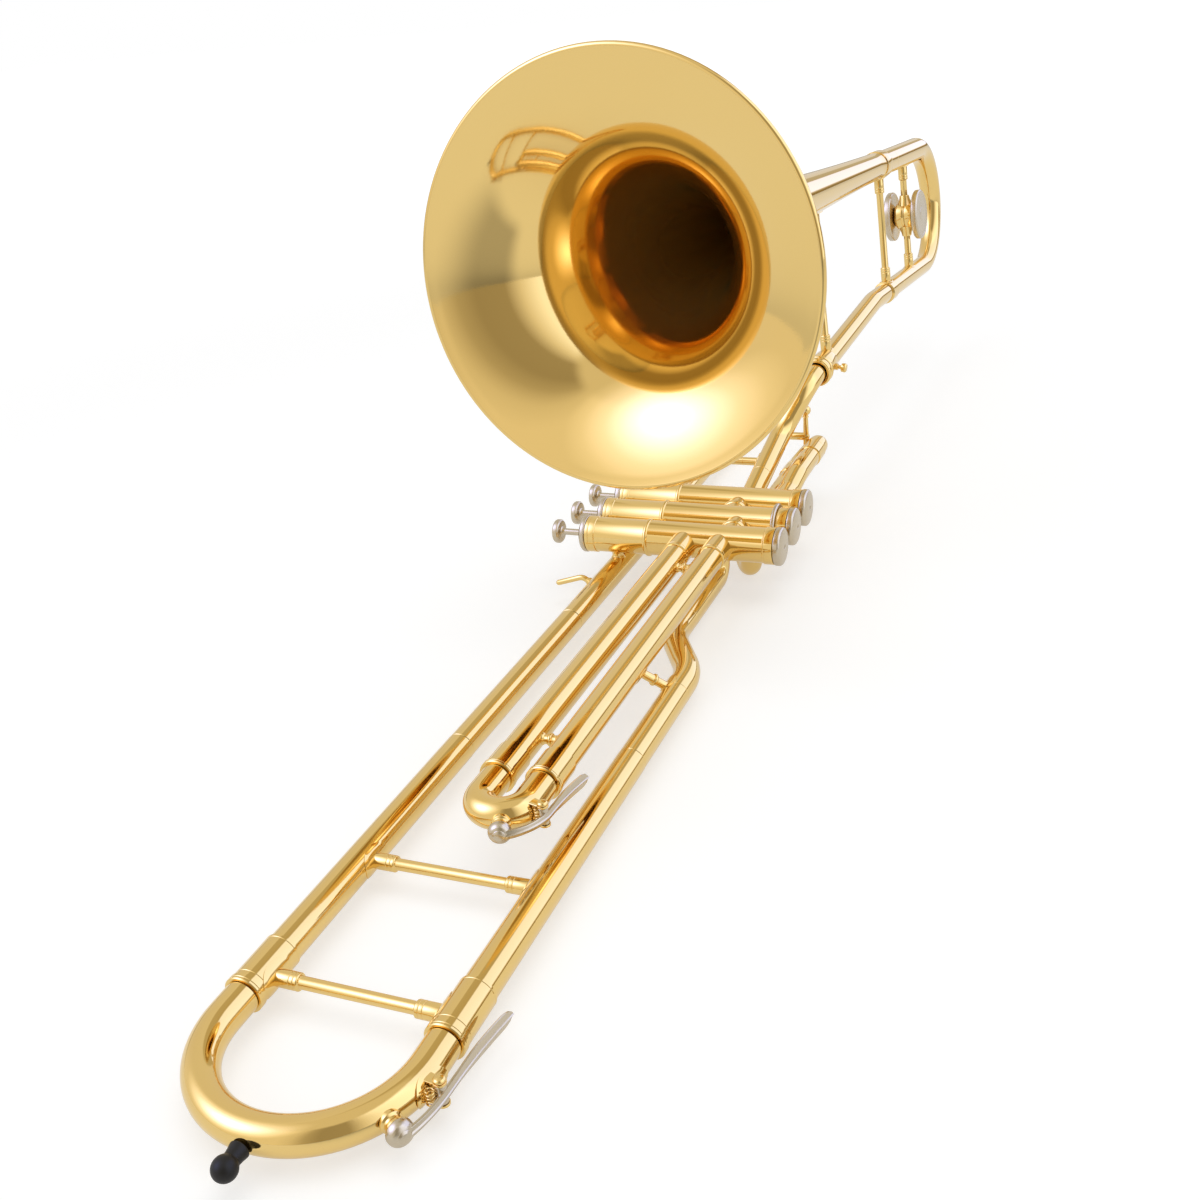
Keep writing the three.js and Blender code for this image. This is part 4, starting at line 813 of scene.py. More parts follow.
# Rails, mouthpipe and the front bow
railSize = {"z": -201.3, "lead": -59.0, "back": 26.4, "radius": 7.2, "bore": 6.6, "leadJoint": 98.2,
            "backJoint": 91, "pipeJoint": -37.4, "pipeBore": 6.4, "gap": 0.3, "bevel": 0.2, "step": 0.25,
            "sleeveRear": 250, "sleeveFront": 276.6, "sleeve": 7.9, "bead": 8.3, "lip": 3.2,
            "seams": (1.5, 5.4)}
mouthpipeSize = {"rear": -372, "rearRadius": 6.2, "radius": 7.05, "bore": 5.6}
holderSize = {"back": 6, "run": 56, "radius": 8.4, "mouth": 9.1, "bead": 9.6, "beads": (-4.4, -1.2),
              "beadWidth": 2.6, "neck": 8.9, "gap": 0.3}
frontBowSize = {"start": 288, "radius": 7.05, "leg": 6.3, "legLength": 75, "patch": (8, 7)}


def rail(x, side):
    return Vector((x, railSize[side], railSize["z"]))


def sleevedRail(name, node, side, start, size=railSize):
    long, rear = size["sleeveFront"] - start, size["sleeveRear"] - start
    radius, sleeve, bevel, bore = size["radius"], size["sleeve"], size["bevel"], size["bore"]
    outer = [(0, radius - bevel), (bevel, radius), (rear, radius), (rear + size["step"], sleeve)]
    outer += groove(sleeve, rear + size["seams"][0]) + groove(sleeve, long - size["seams"][1])
    outer += lipped(sleeve, size["bead"], size["lip"], long)
    turned(name, swap(outer) + [(bore, long), (bore, 0)], rail(start, side), forward, "instrument", node,
           sides=64, soften=0.0)


def makeRails(size=railSize):
    sleevedRail("left_rail", "lead_rail", "lead", size["leadJoint"] + size["gap"])
    sleevedRail("right_rail", "return_rail", "back", size["backJoint"] + size["gap"])
    start, bevel, bore = size["pipeJoint"] + size["gap"], size["bevel"], size["pipeBore"]
    long = size["leadJoint"] - start
    turned("left_pipe", swap(evenly(mouthpipeSize["radius"], long, bevel, bevel)) + [(bore, long), (bore, 0)],
           rail(start, "lead"), forward, "instrument", "lead_pipe", sides=64, soften=0.0)


def makeMouthpipe(size=mouthpipeSize, holder=holderSize):
    rear, wide, thin, bore = size["rear"], size["radius"], size["rearRadius"], size["bore"]
    long, bevel = railSize["pipeJoint"] - rear, railSize["bevel"]
    outline = [(thin, 0), (wide, -rear / 2), (wide, long - bevel), (wide - bevel, long), (bore, long),
               (bore, 0)]
    turned("mouth_pipe", outline, rail(rear, "lead"), forward, "instrument", "mouthpipe", sides=64,
           soften=0.0)
    back, run, collar = holder["back"], holder["run"], holder["radius"]
    inner = thin + (wide - thin) / (-rear / 2) * run + holder["gap"]
    outer = [(-back, holder["mouth"])]
    for place in holder["beads"]:
        outer += ring(holder["bead"], holder["neck"], place, holder["beadWidth"])
    outer += [(0.4, collar + 0.1)] + groove(collar, 8) + [(38, collar)] + groove(collar - 0.1, 41)
    inside = [(inner + 0.5, run), (inner, run), (6.5, -0.3), (bore, -0.3), (5.9, -back)]
    turned("mouthpiece_holder", swap(outer) + inside, rail(rear, "lead"), forward, "instrument",
           "mouthpiece_receiver", sides=64, soften=0.15)


crossSize = {"front": 264, "middle": 189.3, "patch": (9.5, 7.4)}


def makeCrossBraces(size=crossSize):
    for name, node, x, radius in (("front_cross_brace", "front_brace", size["front"], railSize["sleeve"]),
                                  ("middle_cross_brace", "middle_brace", size["middle"], railSize["radius"])):
        left, right = rail(x, "lead"), rail(x, "back")
        patches = [saddlePatch(left, forward, sideways, radius, *size["patch"]),
                   saddlePatch(right, forward, -sideways, radius, *size["patch"])]
        finished(name, joinedMesh(braceMesh(left, right, radius, radius), *patches), "instrument", node)


# Water keys. Sweep and pivot are degrees round the bow from straight ahead, and reach is from pivot to tip.
keySize = {"nipple": 3.2, "nippleLength": 4.2, "nippleBore": 1.6, "sunk": 1.6, "cup": 5, "cupDepth": 4.8,
           "cupRim": 0.9, "pad": 0.62, "gap": 0.3, "standOff": 3.6, "tipRise": 5, "thick": 1.6, "height": 4,
           "leafShare": 0.62, "leafHeight": 6.6, "ridge": 0.55, "pin": 1.3, "barrel": 2.2,
           "barrelLength": 7.6, "ear": 1.0, "earRadius": 2.5, "coil": 1.5, "coilBack": 4, "wire": 0.4,
           "wireSides": 10, "turns": 5, "turnSteps": 20, "steps": 24, "arcSteps": 8, "sharp": 30}
frontKey = {"sweep": 59, "pivot": 80, "reach": 41}
thirdKey = {"sweep": 20, "pivot": 72, "reach": 31}
cupShares = ((0.8, 0), (0.97, 0), (1, 0.1), (1, 0.3), (0.97, 0.46), (0.9, 0.62), (0.79, 0.76), (0.64, 0.87),
             (0.45, 0.95))
claspShares = ((0, 0), (1, 0), (1, 0.5), (0.9, 1.1), (0.66, 1.6), (0.36, 1.85), (0, 1.95))
# The lever's section: across its thickness, along its height, and how much of the ridge it carries
leverShares = ((1, 0, 1), (1, 0.13, 0.35), (1, 0.3, 0), (0.92, 0.72, 0), (0.6, 0.94, 0), (0, 1, 0),
               (-0.6, 0.94, 0), (-0.92, 0.72, 0), (-1, 0.3, 0), (-1, 0, 0))
leverForm = {"narrow": 1.15, "spreadFrom": 0.2, "spreadOver": 0.5, "roundFrom": 0.84, "roundOver": 0.163,
             "blunt": 0.03, "bow": 1.3, "tipBow": 0.8, "bowShare": 0.6, "root": 1.1, "taper": 0.4,
             "flare": 0.15}


def ribbonMesh(stations, ridge=0.0):
    # A rounded strip through stations of (place, half thickness, half height), standing upright
    section = list(leverShares) + [(u, -v, rise) for u, v, rise in leverShares[-2:0:-1]]
    count, last = len(section), len(stations) - 1
    verts, faces = [], []
    for i, (spot, thick, high) in enumerate(stations):
        along = (stations[min(i + 1, last)][0] - stations[max(i - 1, 0)][0]).normalized()
        out = along.cross(upward).normalized()
        lift = out.cross(along).normalized()
        for u, v, rise in section:
            verts.append(asMetres(spot + out * (u * thick + rise * ridge) + lift * (v * high)))
    for i in range(last):
        for k in range(count):
            n = (k + 1) % count
            faces.append([i * count + k, i * count + n, (i + 1) * count + n, (i + 1) * count + k])
    faces.append(list(reversed(range(count))))
    faces.append([last * count + k for k in range(count)])
    return meshOf("ribbon", verts, faces)


def keyPlaces(centre, bend, tubeRadius, key, size=keySize):
    skin, centre = bend + tubeRadius, Vector(centre)

    def out(degrees, distance):
        angle = math.radians(degrees)
        return centre + Vector((math.cos(angle), math.sin(angle), 0)) * distance

    sweep, pivotSweep = key["sweep"], key["pivot"]
    pivot = out(pivotSweep, skin + size["standOff"])
    seat = skin + size["nippleLength"] + size["gap"]
    armStart = seat + size["cupDepth"] * 0.8
    armEnd = skin + size["standOff"] + size["barrel"] - size["thick"] / 4
    arc = []
    for k in range(size["arcSteps"] + 1):
        share = k / size["arcSteps"]
        arc.append(out(sweep + (pivotSweep - sweep) * share, armStart + (armEnd - armStart) * share))
    leaf = key["reach"] * size["leafShare"]
    middle = Vector((pivot.x - key["reach"] + leaf / 2, pivot.y + size["tipRise"], centre.z))
    return {"pivot": pivot, "arc": arc, "tip": middle + (middle - arc[-1]).normalized() * leaf / 2,
            "heading": out(sweep, 1) - centre, "pivotHeading": out(pivotSweep, 1) - centre,
            "seat": out(sweep, seat), "root": out(sweep, skin - size["sunk"]),
            "spring": out(pivotSweep - size["coilBack"], skin + size["coil"] + size["wire"]),
            "saddle": out(pivotSweep, bend)}


def nippleMesh(places, size=keySize):
    wide, long, bore = size["nipple"], size["nippleLength"], size["nippleBore"]
    return turnedMesh([(bore, 0), (wide + 1.1, 0), (wide + 1.0, 1.8), (wide + 0.2, 2.4), (wide, long * 0.8),
                       (wide + 0.5, long), (wide + 0.5, long + 1.0), (wide - 0.2, long + 1.6),
                       (bore, long + 1.6)], places["root"], places["heading"], sides=40, soften=0.2)


def pivotEars(places, size=keySize):
    # Two round ears with their stems, and the coil spring between the barrel and the tube
    half, ear, pin, wide = size["barrelLength"] / 2 + size["gap"], size["ear"], size["pin"], size["earRadius"]
    heading, pivot = places["pivotHeading"], places["pivot"]
    outline = [(pin, 0), (wide, 0), (wide, ear), (pin, ear)]
    meshes = []
    for low in (half, -half - ear):
        meshes.append(turnedMesh(outline, pivot + upward * low, upward, sides=32, soften=0.2))
        root = pivot - heading * (size["standOff"] + 2.4) + upward * (low + ear / 2)
        foot = pivot - heading * 1.2 + upward * (low + ear / 2)
        meshes.append(ribbonMesh([(root, 2.3, ear / 2), (foot, 1.9, ear / 2)]))
    coil, tall, steps = size["coil"], (half - 0.6) * 2, size["turns"] * size["turnSteps"]
    points = []
    for k in range(steps + 1):
        angle = 2 * math.pi * k / size["turnSteps"]
        spot = Vector((math.cos(angle) * coil, math.sin(angle) * coil, tall * (k / steps - 0.5)))
        points.append((places["spring"] + spot, size["wire"]))
    return meshes + [sweptMesh(points, size["wireSides"])]


def keyLever(name, node, body, places, size=keySize, form=leverForm):
    wide, deep, rim = size["cup"], size["cupDepth"], size["cupRim"]
    seat, heading, pad = places["seat"], places["heading"], size["cup"] * size["pad"]
    dome = [(wide * across, deep * up) for across, up in cupShares]
    shell = [(0, rim), (wide * 0.76, rim)] + dome + [(0, deep)]
    cup = turnedMesh(shell, seat, heading, sides=56, soften=0.15)
    boss = [(pad * across, up) for across, up in claspShares]
    clasp = turnedMesh(boss, seat + heading * deep * 0.7, heading, sides=40, soften=0.15)
    *arc, elbow = places["arc"]
    thick, high, leaf = size["thick"] / 2, size["height"] / 2, size["leafHeight"] / 2
    half = size["arcSteps"] / 2
    stations = [(p, thick, high * (1.0 + form["flare"] * abs(i - half) / half)) for i, p in enumerate(arc)]
    run = (places["tip"] - elbow).length
    toTip = (places["tip"] - elbow).normalized()
    outward, narrow = toTip.cross(upward).normalized(), high * form["narrow"]
    for k in range(size["steps"] + 1):
        share = k / size["steps"]
        spread = max(0.0, (share - form["spreadFrom"]) / form["spreadOver"])
        width = narrow + (leaf - narrow) * math.sin(min(spread, 1) * math.pi / 2)
        if share > form["roundFrom"]:
            width *= math.sqrt(max(form["blunt"], 1 - ((share - form["roundFrom"]) / form["roundOver"]) ** 2))
        bow = form["bow"] * math.sin(share * math.pi) - form["tipBow"] * share ** 3
        stations.append((elbow + toTip * run * share - outward * bow * form["bowShare"],
                         thick * (form["root"] - form["taper"] * share), width))
    half, pin, barrel = size["barrelLength"] / 2, size["pin"], size["barrel"]
    tube = turnedMesh([(pin, -half), (barrel, -half), (barrel, half), (pin, half)], places["pivot"], upward,
                      sides=40, soften=0.2)
    finished(name, joinedMesh(cup, clasp, ribbonMesh(stations, size["ridge"]), tube), body, node, "nickel",
             size["sharp"])


def keyPin(name, node, body, places, size=keySize):
    half = size["barrelLength"] / 2 + size["gap"] + size["ear"]
    turned(name, [(0, -half - 0.7), (0.9, -half - 0.7), (1.0, -half), (1.0, half), (2.3, half + 0.2),
                  (2.3, half + 1.0), (1.7, half + 1.6), (0.6, half + 1.9), (0, half + 1.9)],
           places["pivot"], upward, body, node, sides=40, soften=0.2)


def makeFrontBow(size=frontBowSize, key=frontKey):
    left, right = rail(size["start"], "lead"), rail(size["start"], "back")
    reach = (railSize["back"] - railSize["lead"]) / 2
    gap = size["start"] - railSize["sleeveFront"] - railSize["gap"]
    centre, angle = (left + right) / 2, math.radians(key["pivot"])
    places = keyPlaces(centre, reach, railSize["radius"], key)
    patch = saddlePatch(places["saddle"], (-math.sin(angle), math.cos(angle), 0), places["pivotHeading"],
                        size["radius"], *size["patch"])
    parts = bowParts(left, right, forward, gap, size["radius"], size["leg"], size["legLength"])
    parts += [nippleMesh(places), patch, *pivotEars(places)]
    finished("front_bow_tube", joinedMesh(*parts), "front_slide", "front_bow")
    keyLever("front_key", "front_water_key", "front_key", places)
    keyPin("front_key_pin", "front_key_screw", "front_slide", places)
    makeBumper(centre + forward * (reach + railSize["radius"] - railSize["gap"]))


bumperSize = {"foot": 3.8, "neck": 3.2, "ball": 4.6, "length": 13.4, "sunk": 0.6, "arc": range(-46, 86, 9)}


def makeBumper(root, size=bumperSize):
    foot, neck, ball, sunk = size["foot"], size["neck"], size["ball"], size["sunk"]
    middle = size["length"] - ball
    profile = [(0, sunk), (foot, sunk), (foot - 0.1, 1.4), (neck + 0.15, 3), (neck, middle / 2)]
    for degrees in size["arc"]:
        angle = math.radians(degrees)
        profile.append((ball * math.cos(angle), middle + ball * math.sin(angle)))
    turned("bumper_knob", profile + [(0, size["length"])], root, forward, "front_slide", "front_bumper",
           "rubber", sides=56, soften=0.3)


makeRails()
makeMouthpipe()
makeCrossBraces()
makeFrontBow()
print("stage: rails and front bow")

# Third valve slide
thirdSize = {"radius": 7.4, "left": -13.6, "right": 8.3, "ferrule": 8.1, "ferruleLength": 13, "seam": 2,
             "step": (0.1, 0.15), "sleeveRear": 128, "sleeveFront": 146, "sleeve": 8.0, "bead": 8.4, "lip": 3,
             "bowStart": 160, "bow": 7.1, "leg": 6.3, "legLength": 110, "gap": 0.3, "frontBrace": 112,
             "rearBrace": -75}
staySize = {"radius": 2.3, "bead": 3.2, "beadWidth": 2.2, "sunk": 0.6,
            "foot": ((0, 0.9), (1.1, 0.5), (1.7, 0))}


def stayMesh(a, b, radiusA, radiusB, size=staySize):
    # A short turned brace with a bead at its middle and a flared foot at each end
    long, thin = (b - a).length, size["radius"]
    start = math.sqrt(radiusA ** 2 - thin ** 2) - size["sunk"]
    end = long - math.sqrt(radiusB ** 2 - thin ** 2) + size["sunk"]
    outer = [(start + along, thin + flare) for along, flare in size["foot"]]
    outer += ring(size["bead"], thin, (radiusA + long - radiusB) / 2, size["beadWidth"])
    outer += [(end - along, thin + flare) for along, flare in reversed(size["foot"])]
    return turnedMesh([(0, start)] + swap(outer) + [(0, end)], a, b - a, sides=36, soften=0.1)


def makeThirdSlide(size=thirdSize):
    wide, collar, sleeve = size["radius"], size["ferrule"], size["sleeve"]
    face, bore = valveSize["radius"] + size["ferruleLength"], size["leg"] + size["gap"]
    rear, front = size["sleeveRear"] - valveX(3), size["sleeveFront"] - valveX(3)
    outer = [(0, collar)] + groove(collar, face - size["seam"]) + [(face - size["step"][0], collar)]
    outer += [(face + size["step"][1], wide), (rear, wide), (rear + railSize["step"], sleeve)]
    outer += lipped(sleeve, size["bead"], size["lip"], front)
    for side in ("left", "right"):
        start = valvePoint(3, size[side])
        mesh = turnedMesh(swap(outer) + [(bore, front), (bore, 0)], start, forward, sides=64, soften=0.0)
        landed(mesh, start, forward, 3)
        finished(f"third_{side}_tube", mesh, "instrument", f"third_slide_{side}_tube")
    left, right = (Vector((size["bowStart"], size[side], valveSize["z"])) for side in ("left", "right"))
    places = keyPlaces((left + right) / 2, (size["right"] - size["left"]) / 2, wide, thirdKey)
    gap = size["bowStart"] - size["sleeveFront"] - size["gap"]
    parts = bowParts(left, right, forward, gap, size["bow"], size["leg"], size["legLength"])
    parts += [nippleMesh(places), *pivotEars(places)]
    finished("third_bow_tube", joinedMesh(*parts), "third_slide", "third_slide_bow")
    keyLever("third_key_lever", "third_water_key", "third_key", places)
    keyPin("third_key_pin", "third_key_screw", "third_slide", places)
    for end in ("front", "rear"):
        a, b = (Vector((size[end + "Brace"], size[side], valveSize["z"])) for side in ("left", "right"))
        finished(f"third_{end}_stay", stayMesh(a, b, wide, wide), "instrument", f"third_slide_{end}_brace")


# Second valve slide: a short bow that hangs under its casing
secondSize = {"radius": 6.6, "wall": 0.6, "bevel": 0.2, "y": 14, "spread": 18, "turn": 30, "drop": 17,
              "gap": 0.3, "leg": 5.7, "legLength": 5, "legRun": 1}


def makeSecondSlide(size=secondSize):
    turn, wide, bevel = math.radians(size["turn"]), size["radius"], size["bevel"]
    spread = Vector((math.cos(turn), math.sin(turn), 0)) * size["spread"] / 2
    centre = valvePoint(2, size["y"]) - upward * size["drop"]
    height, inner = size["drop"] - valveSize["radius"] / 2, wide - size["wall"]
    for end, side in (("front", 1), ("rear", -1)):
        foot = centre + spread * side
        mesh = turnedMesh([(wide - bevel, 0), (wide, bevel), (wide, height), (inner, height), (inner, 0)],
                          foot, upward, sides=56, soften=0.0)
        finished(f"second_{end}_stub", landed(mesh, foot + upward * height, -upward, 2), "instrument",
                 f"second_slide_{end}_tube")
    start = centre - upward * size["gap"]
    parts = bowParts(start + spread, start - spread, -upward, 0, wide, size["leg"], size["legLength"],
                     (bevel, bevel), size["legRun"], 0)
    finished("second_bow_tube", joinedMesh(*parts), "second_slide", "second_slide_bow")


# First valve slide, with its pull posts
firstSize = {"radius": 6.6, "wall": 0.6, "upperY": 29.2, "upperRise": 8.4, "portY": 27.7, "portRise": 3.5,
             "lowerY": 15, "lowerRise": -7.3, "bendFront": -190, "bendRear": -205, "bend": 16,
             "sleeveFront": -238, "sleeveRear": -253, "sleeve": 7.2, "seam": 3, "bevel": 0.3, "gap": 0.3,
             "bowStart": -258, "bowEdge": (0.3, 0.25), "legLength": 32}
# The pull post stands on the bow's crown, and its arm leaves it level
postSize = {"share": 0.7, "foot": 2.0, "top": 1.6, "length": 32, "knob": 3.6, "bead": 0.6, "beadWidth": 1.0,
            "arm": 2.6, "armRise": 13.7, "armLength": 20}


def knobStations(centre, radius, steps=12):
    # The stations of a ball at the end of a turned rod, all but its pole
    return [(centre + radius * math.cos(math.pi * (1 - k / steps)), radius * math.sin(math.pi * k / steps))
            for k in range(2, steps)]


def pullPost(root, tubeRadius, post=postSize):
    foot, top, knob, tall = post["foot"], post["top"], post["knob"], post["length"]
    outer = [(0, foot), (tubeRadius - 1, foot + 0.1), (tubeRadius + 1.2, foot), (tall - knob - 1.6, top)]
    outer += ring(top + post["bead"], top, tall - knob - 0.9, post["beadWidth"]) + knobStations(tall, knob)
    stem = turnedMesh([(0, 0)] + swap(outer) + [(0, tall + knob)], root, upward, sides=36, soften=0.1)
    arm, reached = post["arm"], post["armLength"]
    outer = [(-arm * 0.7, arm * 0.7), (0, arm), (reached - knob, arm)] + knobStations(reached, knob)
    level = turnedMesh([(0, -arm)] + swap(outer) + [(0, reached + knob)], root + upward * post["armRise"],
                       -sideways, sides=40, soften=0.1)
    return [stem, level]


def makeFirstSlide(size=firstSize):
    z, wide, sleeveRadius, gap = valveSize["z"], size["radius"], size["sleeve"], size["gap"]
    upperY, upperZ = size["upperY"], z + size["upperRise"]
    lowerY, lowerZ = size["lowerY"], z + size["lowerRise"]
    portY, portZ = size["portY"], z + size["portRise"]
    upperPath = bentPath([(valveX(1), portY, portZ), (size["bendFront"], portY, portZ),
                          (size["bendRear"], upperY, upperZ), (size["sleeveRear"], upperY, upperZ)],
                         [size["bend"]] * 2)
    lowerPath = bentPath([(valveX(1), lowerY, lowerZ), (size["sleeveRear"], lowerY, lowerZ)])
    sleeve = size["sleeveFront"] - size["sleeveRear"]
    for level, path in (("upper", upperPath), ("lower", lowerPath)):
        long = pathLength(path)
        profile = [(0, wide), (long - sleeve, wide), (long - sleeve + railSize["step"], sleeveRadius)]
        profile += groove(sleeveRadius, long - size["seam"])
        profile += [(long - size["bevel"], sleeveRadius), (long, sleeveRadius - size["bevel"])]
        mesh = landed(sweptMesh(stationed(path, profile)), path[0], -forward, 1)
        finished(f"first_{level}_tube", mesh, "instrument", f"first_slide_{level}_tube")
    upper, lower = Vector((size["bowStart"], upperY, upperZ)), Vector((size["bowStart"], lowerY, lowerZ))
    parts = bowParts(upper, lower, -forward, size["sleeveRear"] - gap - size["bowStart"], wide,
                     wide - size["wall"] - gap, size["legLength"], size["bowEdge"], legBevel=0)
    crown = upper.lerp(lower, postSize["share"]) - forward * (upper - lower).length / 2
    finished("first_bow_tube", joinedMesh(*parts, *pullPost(crown, wide)), "first_slide", "first_slide_bow")


makeThirdSlide()
makeSecondSlide()
makeFirstSlide()
print("stage: valve slides")

# The ways into and out of the valves
gooseSize = {"y": 6, "bendX": -246, "bendY": 8.5, "bendRise": 21, "radius": 6.8, "bend": 26, "bendStep": 2,
             "lead": 22, "gap": 0.6, "seam": 30, "brace": -215, "braceBend": 22, "braceSeam": 16,
             "braceFoot": 0.3, "braceTaper": 1.5, "braceSides": 40, "footPatch": (7, 5.5), "topPatch": (7, 5)}
sBendSize = {"start": 6, "end": -31, "y": 4.5, "bend": 42, "elbow": 9.2, "radius": 7.05, "seams": (28, -53),
             "bevel": 0.2, "stayRear": 40, "stayFront": 26, "patch": (7, 5)}


def distanceTo(points, x):
    # How far along a path it first comes to the place x
    travelled = 0.0
    for a, b in zip(points, points[1:]):
        if min(a.x, b.x) <= x <= max(a.x, b.x) and abs(b.x - a.x) > pathSize["pointGap"]:
            return travelled + (b - a).length * (x - a.x) / (b.x - a.x)
        travelled += (b - a).length
    return travelled


def makeGooseneck(size=gooseSize):
    start, wide, rod = valvePoint(1, size["y"]), size["radius"], braceSize["rod"]
    corner = Vector((size["bendX"], size["bendY"], valveSize["z"] + size["bendRise"]))
    end = neckEnd + neckForward * size["gap"]
    corners = [start, corner, end + neckForward * size["lead"], end]
    points = bentPath(corners, [size["bend"]] * 2, size["bendStep"])
    profile = [(0, wide)] + groove(wide, size["seam"]) + [(pathLength(points), wide)]
    mesh = sweptMesh(stationed(points, profile))
    finished("goose_neck", landed(mesh, start, corner - start, 1), "instrument", "gooseneck")
    top = start.lerp(corner, (valveX(1) - size["brace"]) / (valveX(1) - size["bendX"]))
    foot, pipe = rail(size["brace"], "lead"), mouthpipeSize["radius"]
    points = bentPath([top, Vector((top.x, foot.y, top.z)), foot], [size["braceBend"]])
    long, flare, taper = pathLength(points), rod + size["braceFoot"], size["braceTaper"]
    profile = [(0, flare), (wide + taper, rod)] + groove(rod, size["braceSeam"])
    profile += [(long - pipe - taper, rod), (long, flare)]
    mesh = joinedMesh(sweptMesh(stationed(points, profile), size["braceSides"]),
                      saddlePatch(foot, forward, upward, pipe, *size["footPatch"]),
                      saddlePatch(top, corner - start, -sideways, wide, *size["topPatch"]))
    finished("goose_brace", mesh, "instrument", "gooseneck_brace")


def makeSBend(size=sBendSize):
    y, z, bend = size["y"], railSize["z"], size["bend"]
    points = bentPath([rail(railSize["backJoint"], "back"), rail(size["start"], "back"), (size["end"], y, z),
                       (valveX(3), y, z), valvePoint(3, y)], [bend, bend, size["elbow"]])
    wide, bevel = size["radius"], size["bevel"]
    profile = [(0, wide - bevel), (bevel, wide)]
    for seam in size["seams"]:
        profile += groove(wide, distanceTo(points, seam))
    mesh = sweptMesh(stationed(points, profile + [(pathLength(points), wide)]))
    finished("s_bend_tube", landed(mesh, valvePoint(3, y), -upward, 3), "instrument", "s_bend")
    slide = Vector((size["stayRear"], thirdSize["right"], valveSize["z"]))
    foot = rail(size["stayFront"], "back")
    patches = [saddlePatch(slide, forward, foot - slide, thirdSize["radius"], *size["patch"]),
               saddlePatch(foot, forward, slide - foot, railSize["radius"], *size["patch"])]
    stay = stayMesh(slide, foot, thirdSize["radius"], railSize["radius"])
    finished("s_bend_stay", joinedMesh(stay, *patches), "instrument", "s_bend_brace")


hookSize = {"x": -84, "wire": 1.7, "drop": 0.6, "rise": 4.9, "arch": 11.5, "reach": 29, "bend": 5,
            "root": 0.9, "flare": ((1.2, 0.7), (2.6, 0)), "tip": (0, 0.5, 0.95, 1.3, 1.5), "sides": 32}


def makeHook(size=hookSize):
    line, half, wire = rail(size["x"], "lead"), mouthpipeSize["radius"] / 2, size["wire"]
    points = bentPath([line - sideways * half, line + Vector((0, -size["arch"], size["rise"])),
                       line + Vector((0, -size["reach"], -size["drop"]))], [size["bend"]])
    long = pathLength(points)
    profile = [(0, wire + size["root"])] + [(half + along, wire + more) for along, more in size["flare"]]
    profile += [(long - wire + wire * math.sin(turn), wire * math.cos(turn)) for turn in size["tip"]]
    finished("hook_wire", sweptMesh(stationed(points, profile), size["sides"]), "instrument", "finger_hook")


# The saddle's ends hide in the mouthpipe and the casing
saddleSize = {"low": 5, "high": 8.4, "end": 4.6, "waist": 3.4, "rise": 0.4, "waistRise": 2.4,
              "waistFall": 2.6}


def makeSaddle(size=saddleSize):
    foot, wide, thin, low = rail(valveX(3), "lead"), size["end"], size["waist"], size["low"]
    high = (valvePoint(3, railSize["lead"]) - foot).length - size["high"]
    turned("pipe_saddle", [(0, low), (wide, low + size["rise"]), (thin, low + size["waistRise"]),
                           (thin, high - size["waistFall"]), (wide, high - 0.2), (0, high)],
           foot, upward, "instrument", "mouthpipe_saddle", sides=40, soften=0.3)


makeGooseneck()
makeSBend()
makeHook()
makeSaddle()
print("stage: ways to the valves")

# The springs under the pistons, which close up as a valve is pressed
springSize = {"wire": 0.55, "turns": 6, "steps": 24, "sides": 12}


def makeSpring(label, node, size=springSize):
    corners = [(node.matrix_world @ Vector(corner) - origin) / mm for corner in node.bound_box]
    low, high = (Vector(map(pick, zip(*corners))) for pick in (min, max))
    middle, wire, steps = (low + high) / 2, size["wire"], size["turns"] * size["steps"]
    radius, run = (high.x - low.x) / 2 - wire, high.y - low.y - 2 * wire
    points = []
    for k in range(steps + 1):
        angle = 2 * math.pi * k / size["steps"]
        spot = Vector((radius * math.cos(angle), run * (k / steps - 0.5), radius * math.sin(angle)))
        points.append((middle + spot, wire))
    mesh = sweptMesh(points, size["sides"], "steel")
    piece = finished(f"{label}_piston_spring", mesh, "instrument", node.name, "steel")
    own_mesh(piece)


for label in ("first", "second", "third"):
    makeSpring(label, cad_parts[f"{label}_valve_spring"])
    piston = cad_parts[f"{label}_piston"]
    piston.data.materials.clear()
    piston.data.materials.append(finishes["nickel"])
print("stage: springs and pistons")

# Floor, light and camera
white = (1, 1, 1, 1)
# The floor grows paler with its distance. Metal sees it dimmer, and dimmer still in a sector ahead of the
# bell: the flag gives the bearings between which that starts and ends, in degrees, and the distances.
floorLook = {"colour": (0.55, 0.55, 0.55, 1), "size": 14.0, "reach": (0.7, 2.6), "glow": (0.56, 0.9),
             "mirrored": 0.4, "mouth": (0.147, 0.0, 0.0), "flag": ((-2, 26), (44, 60), (0.25, 0.4))}
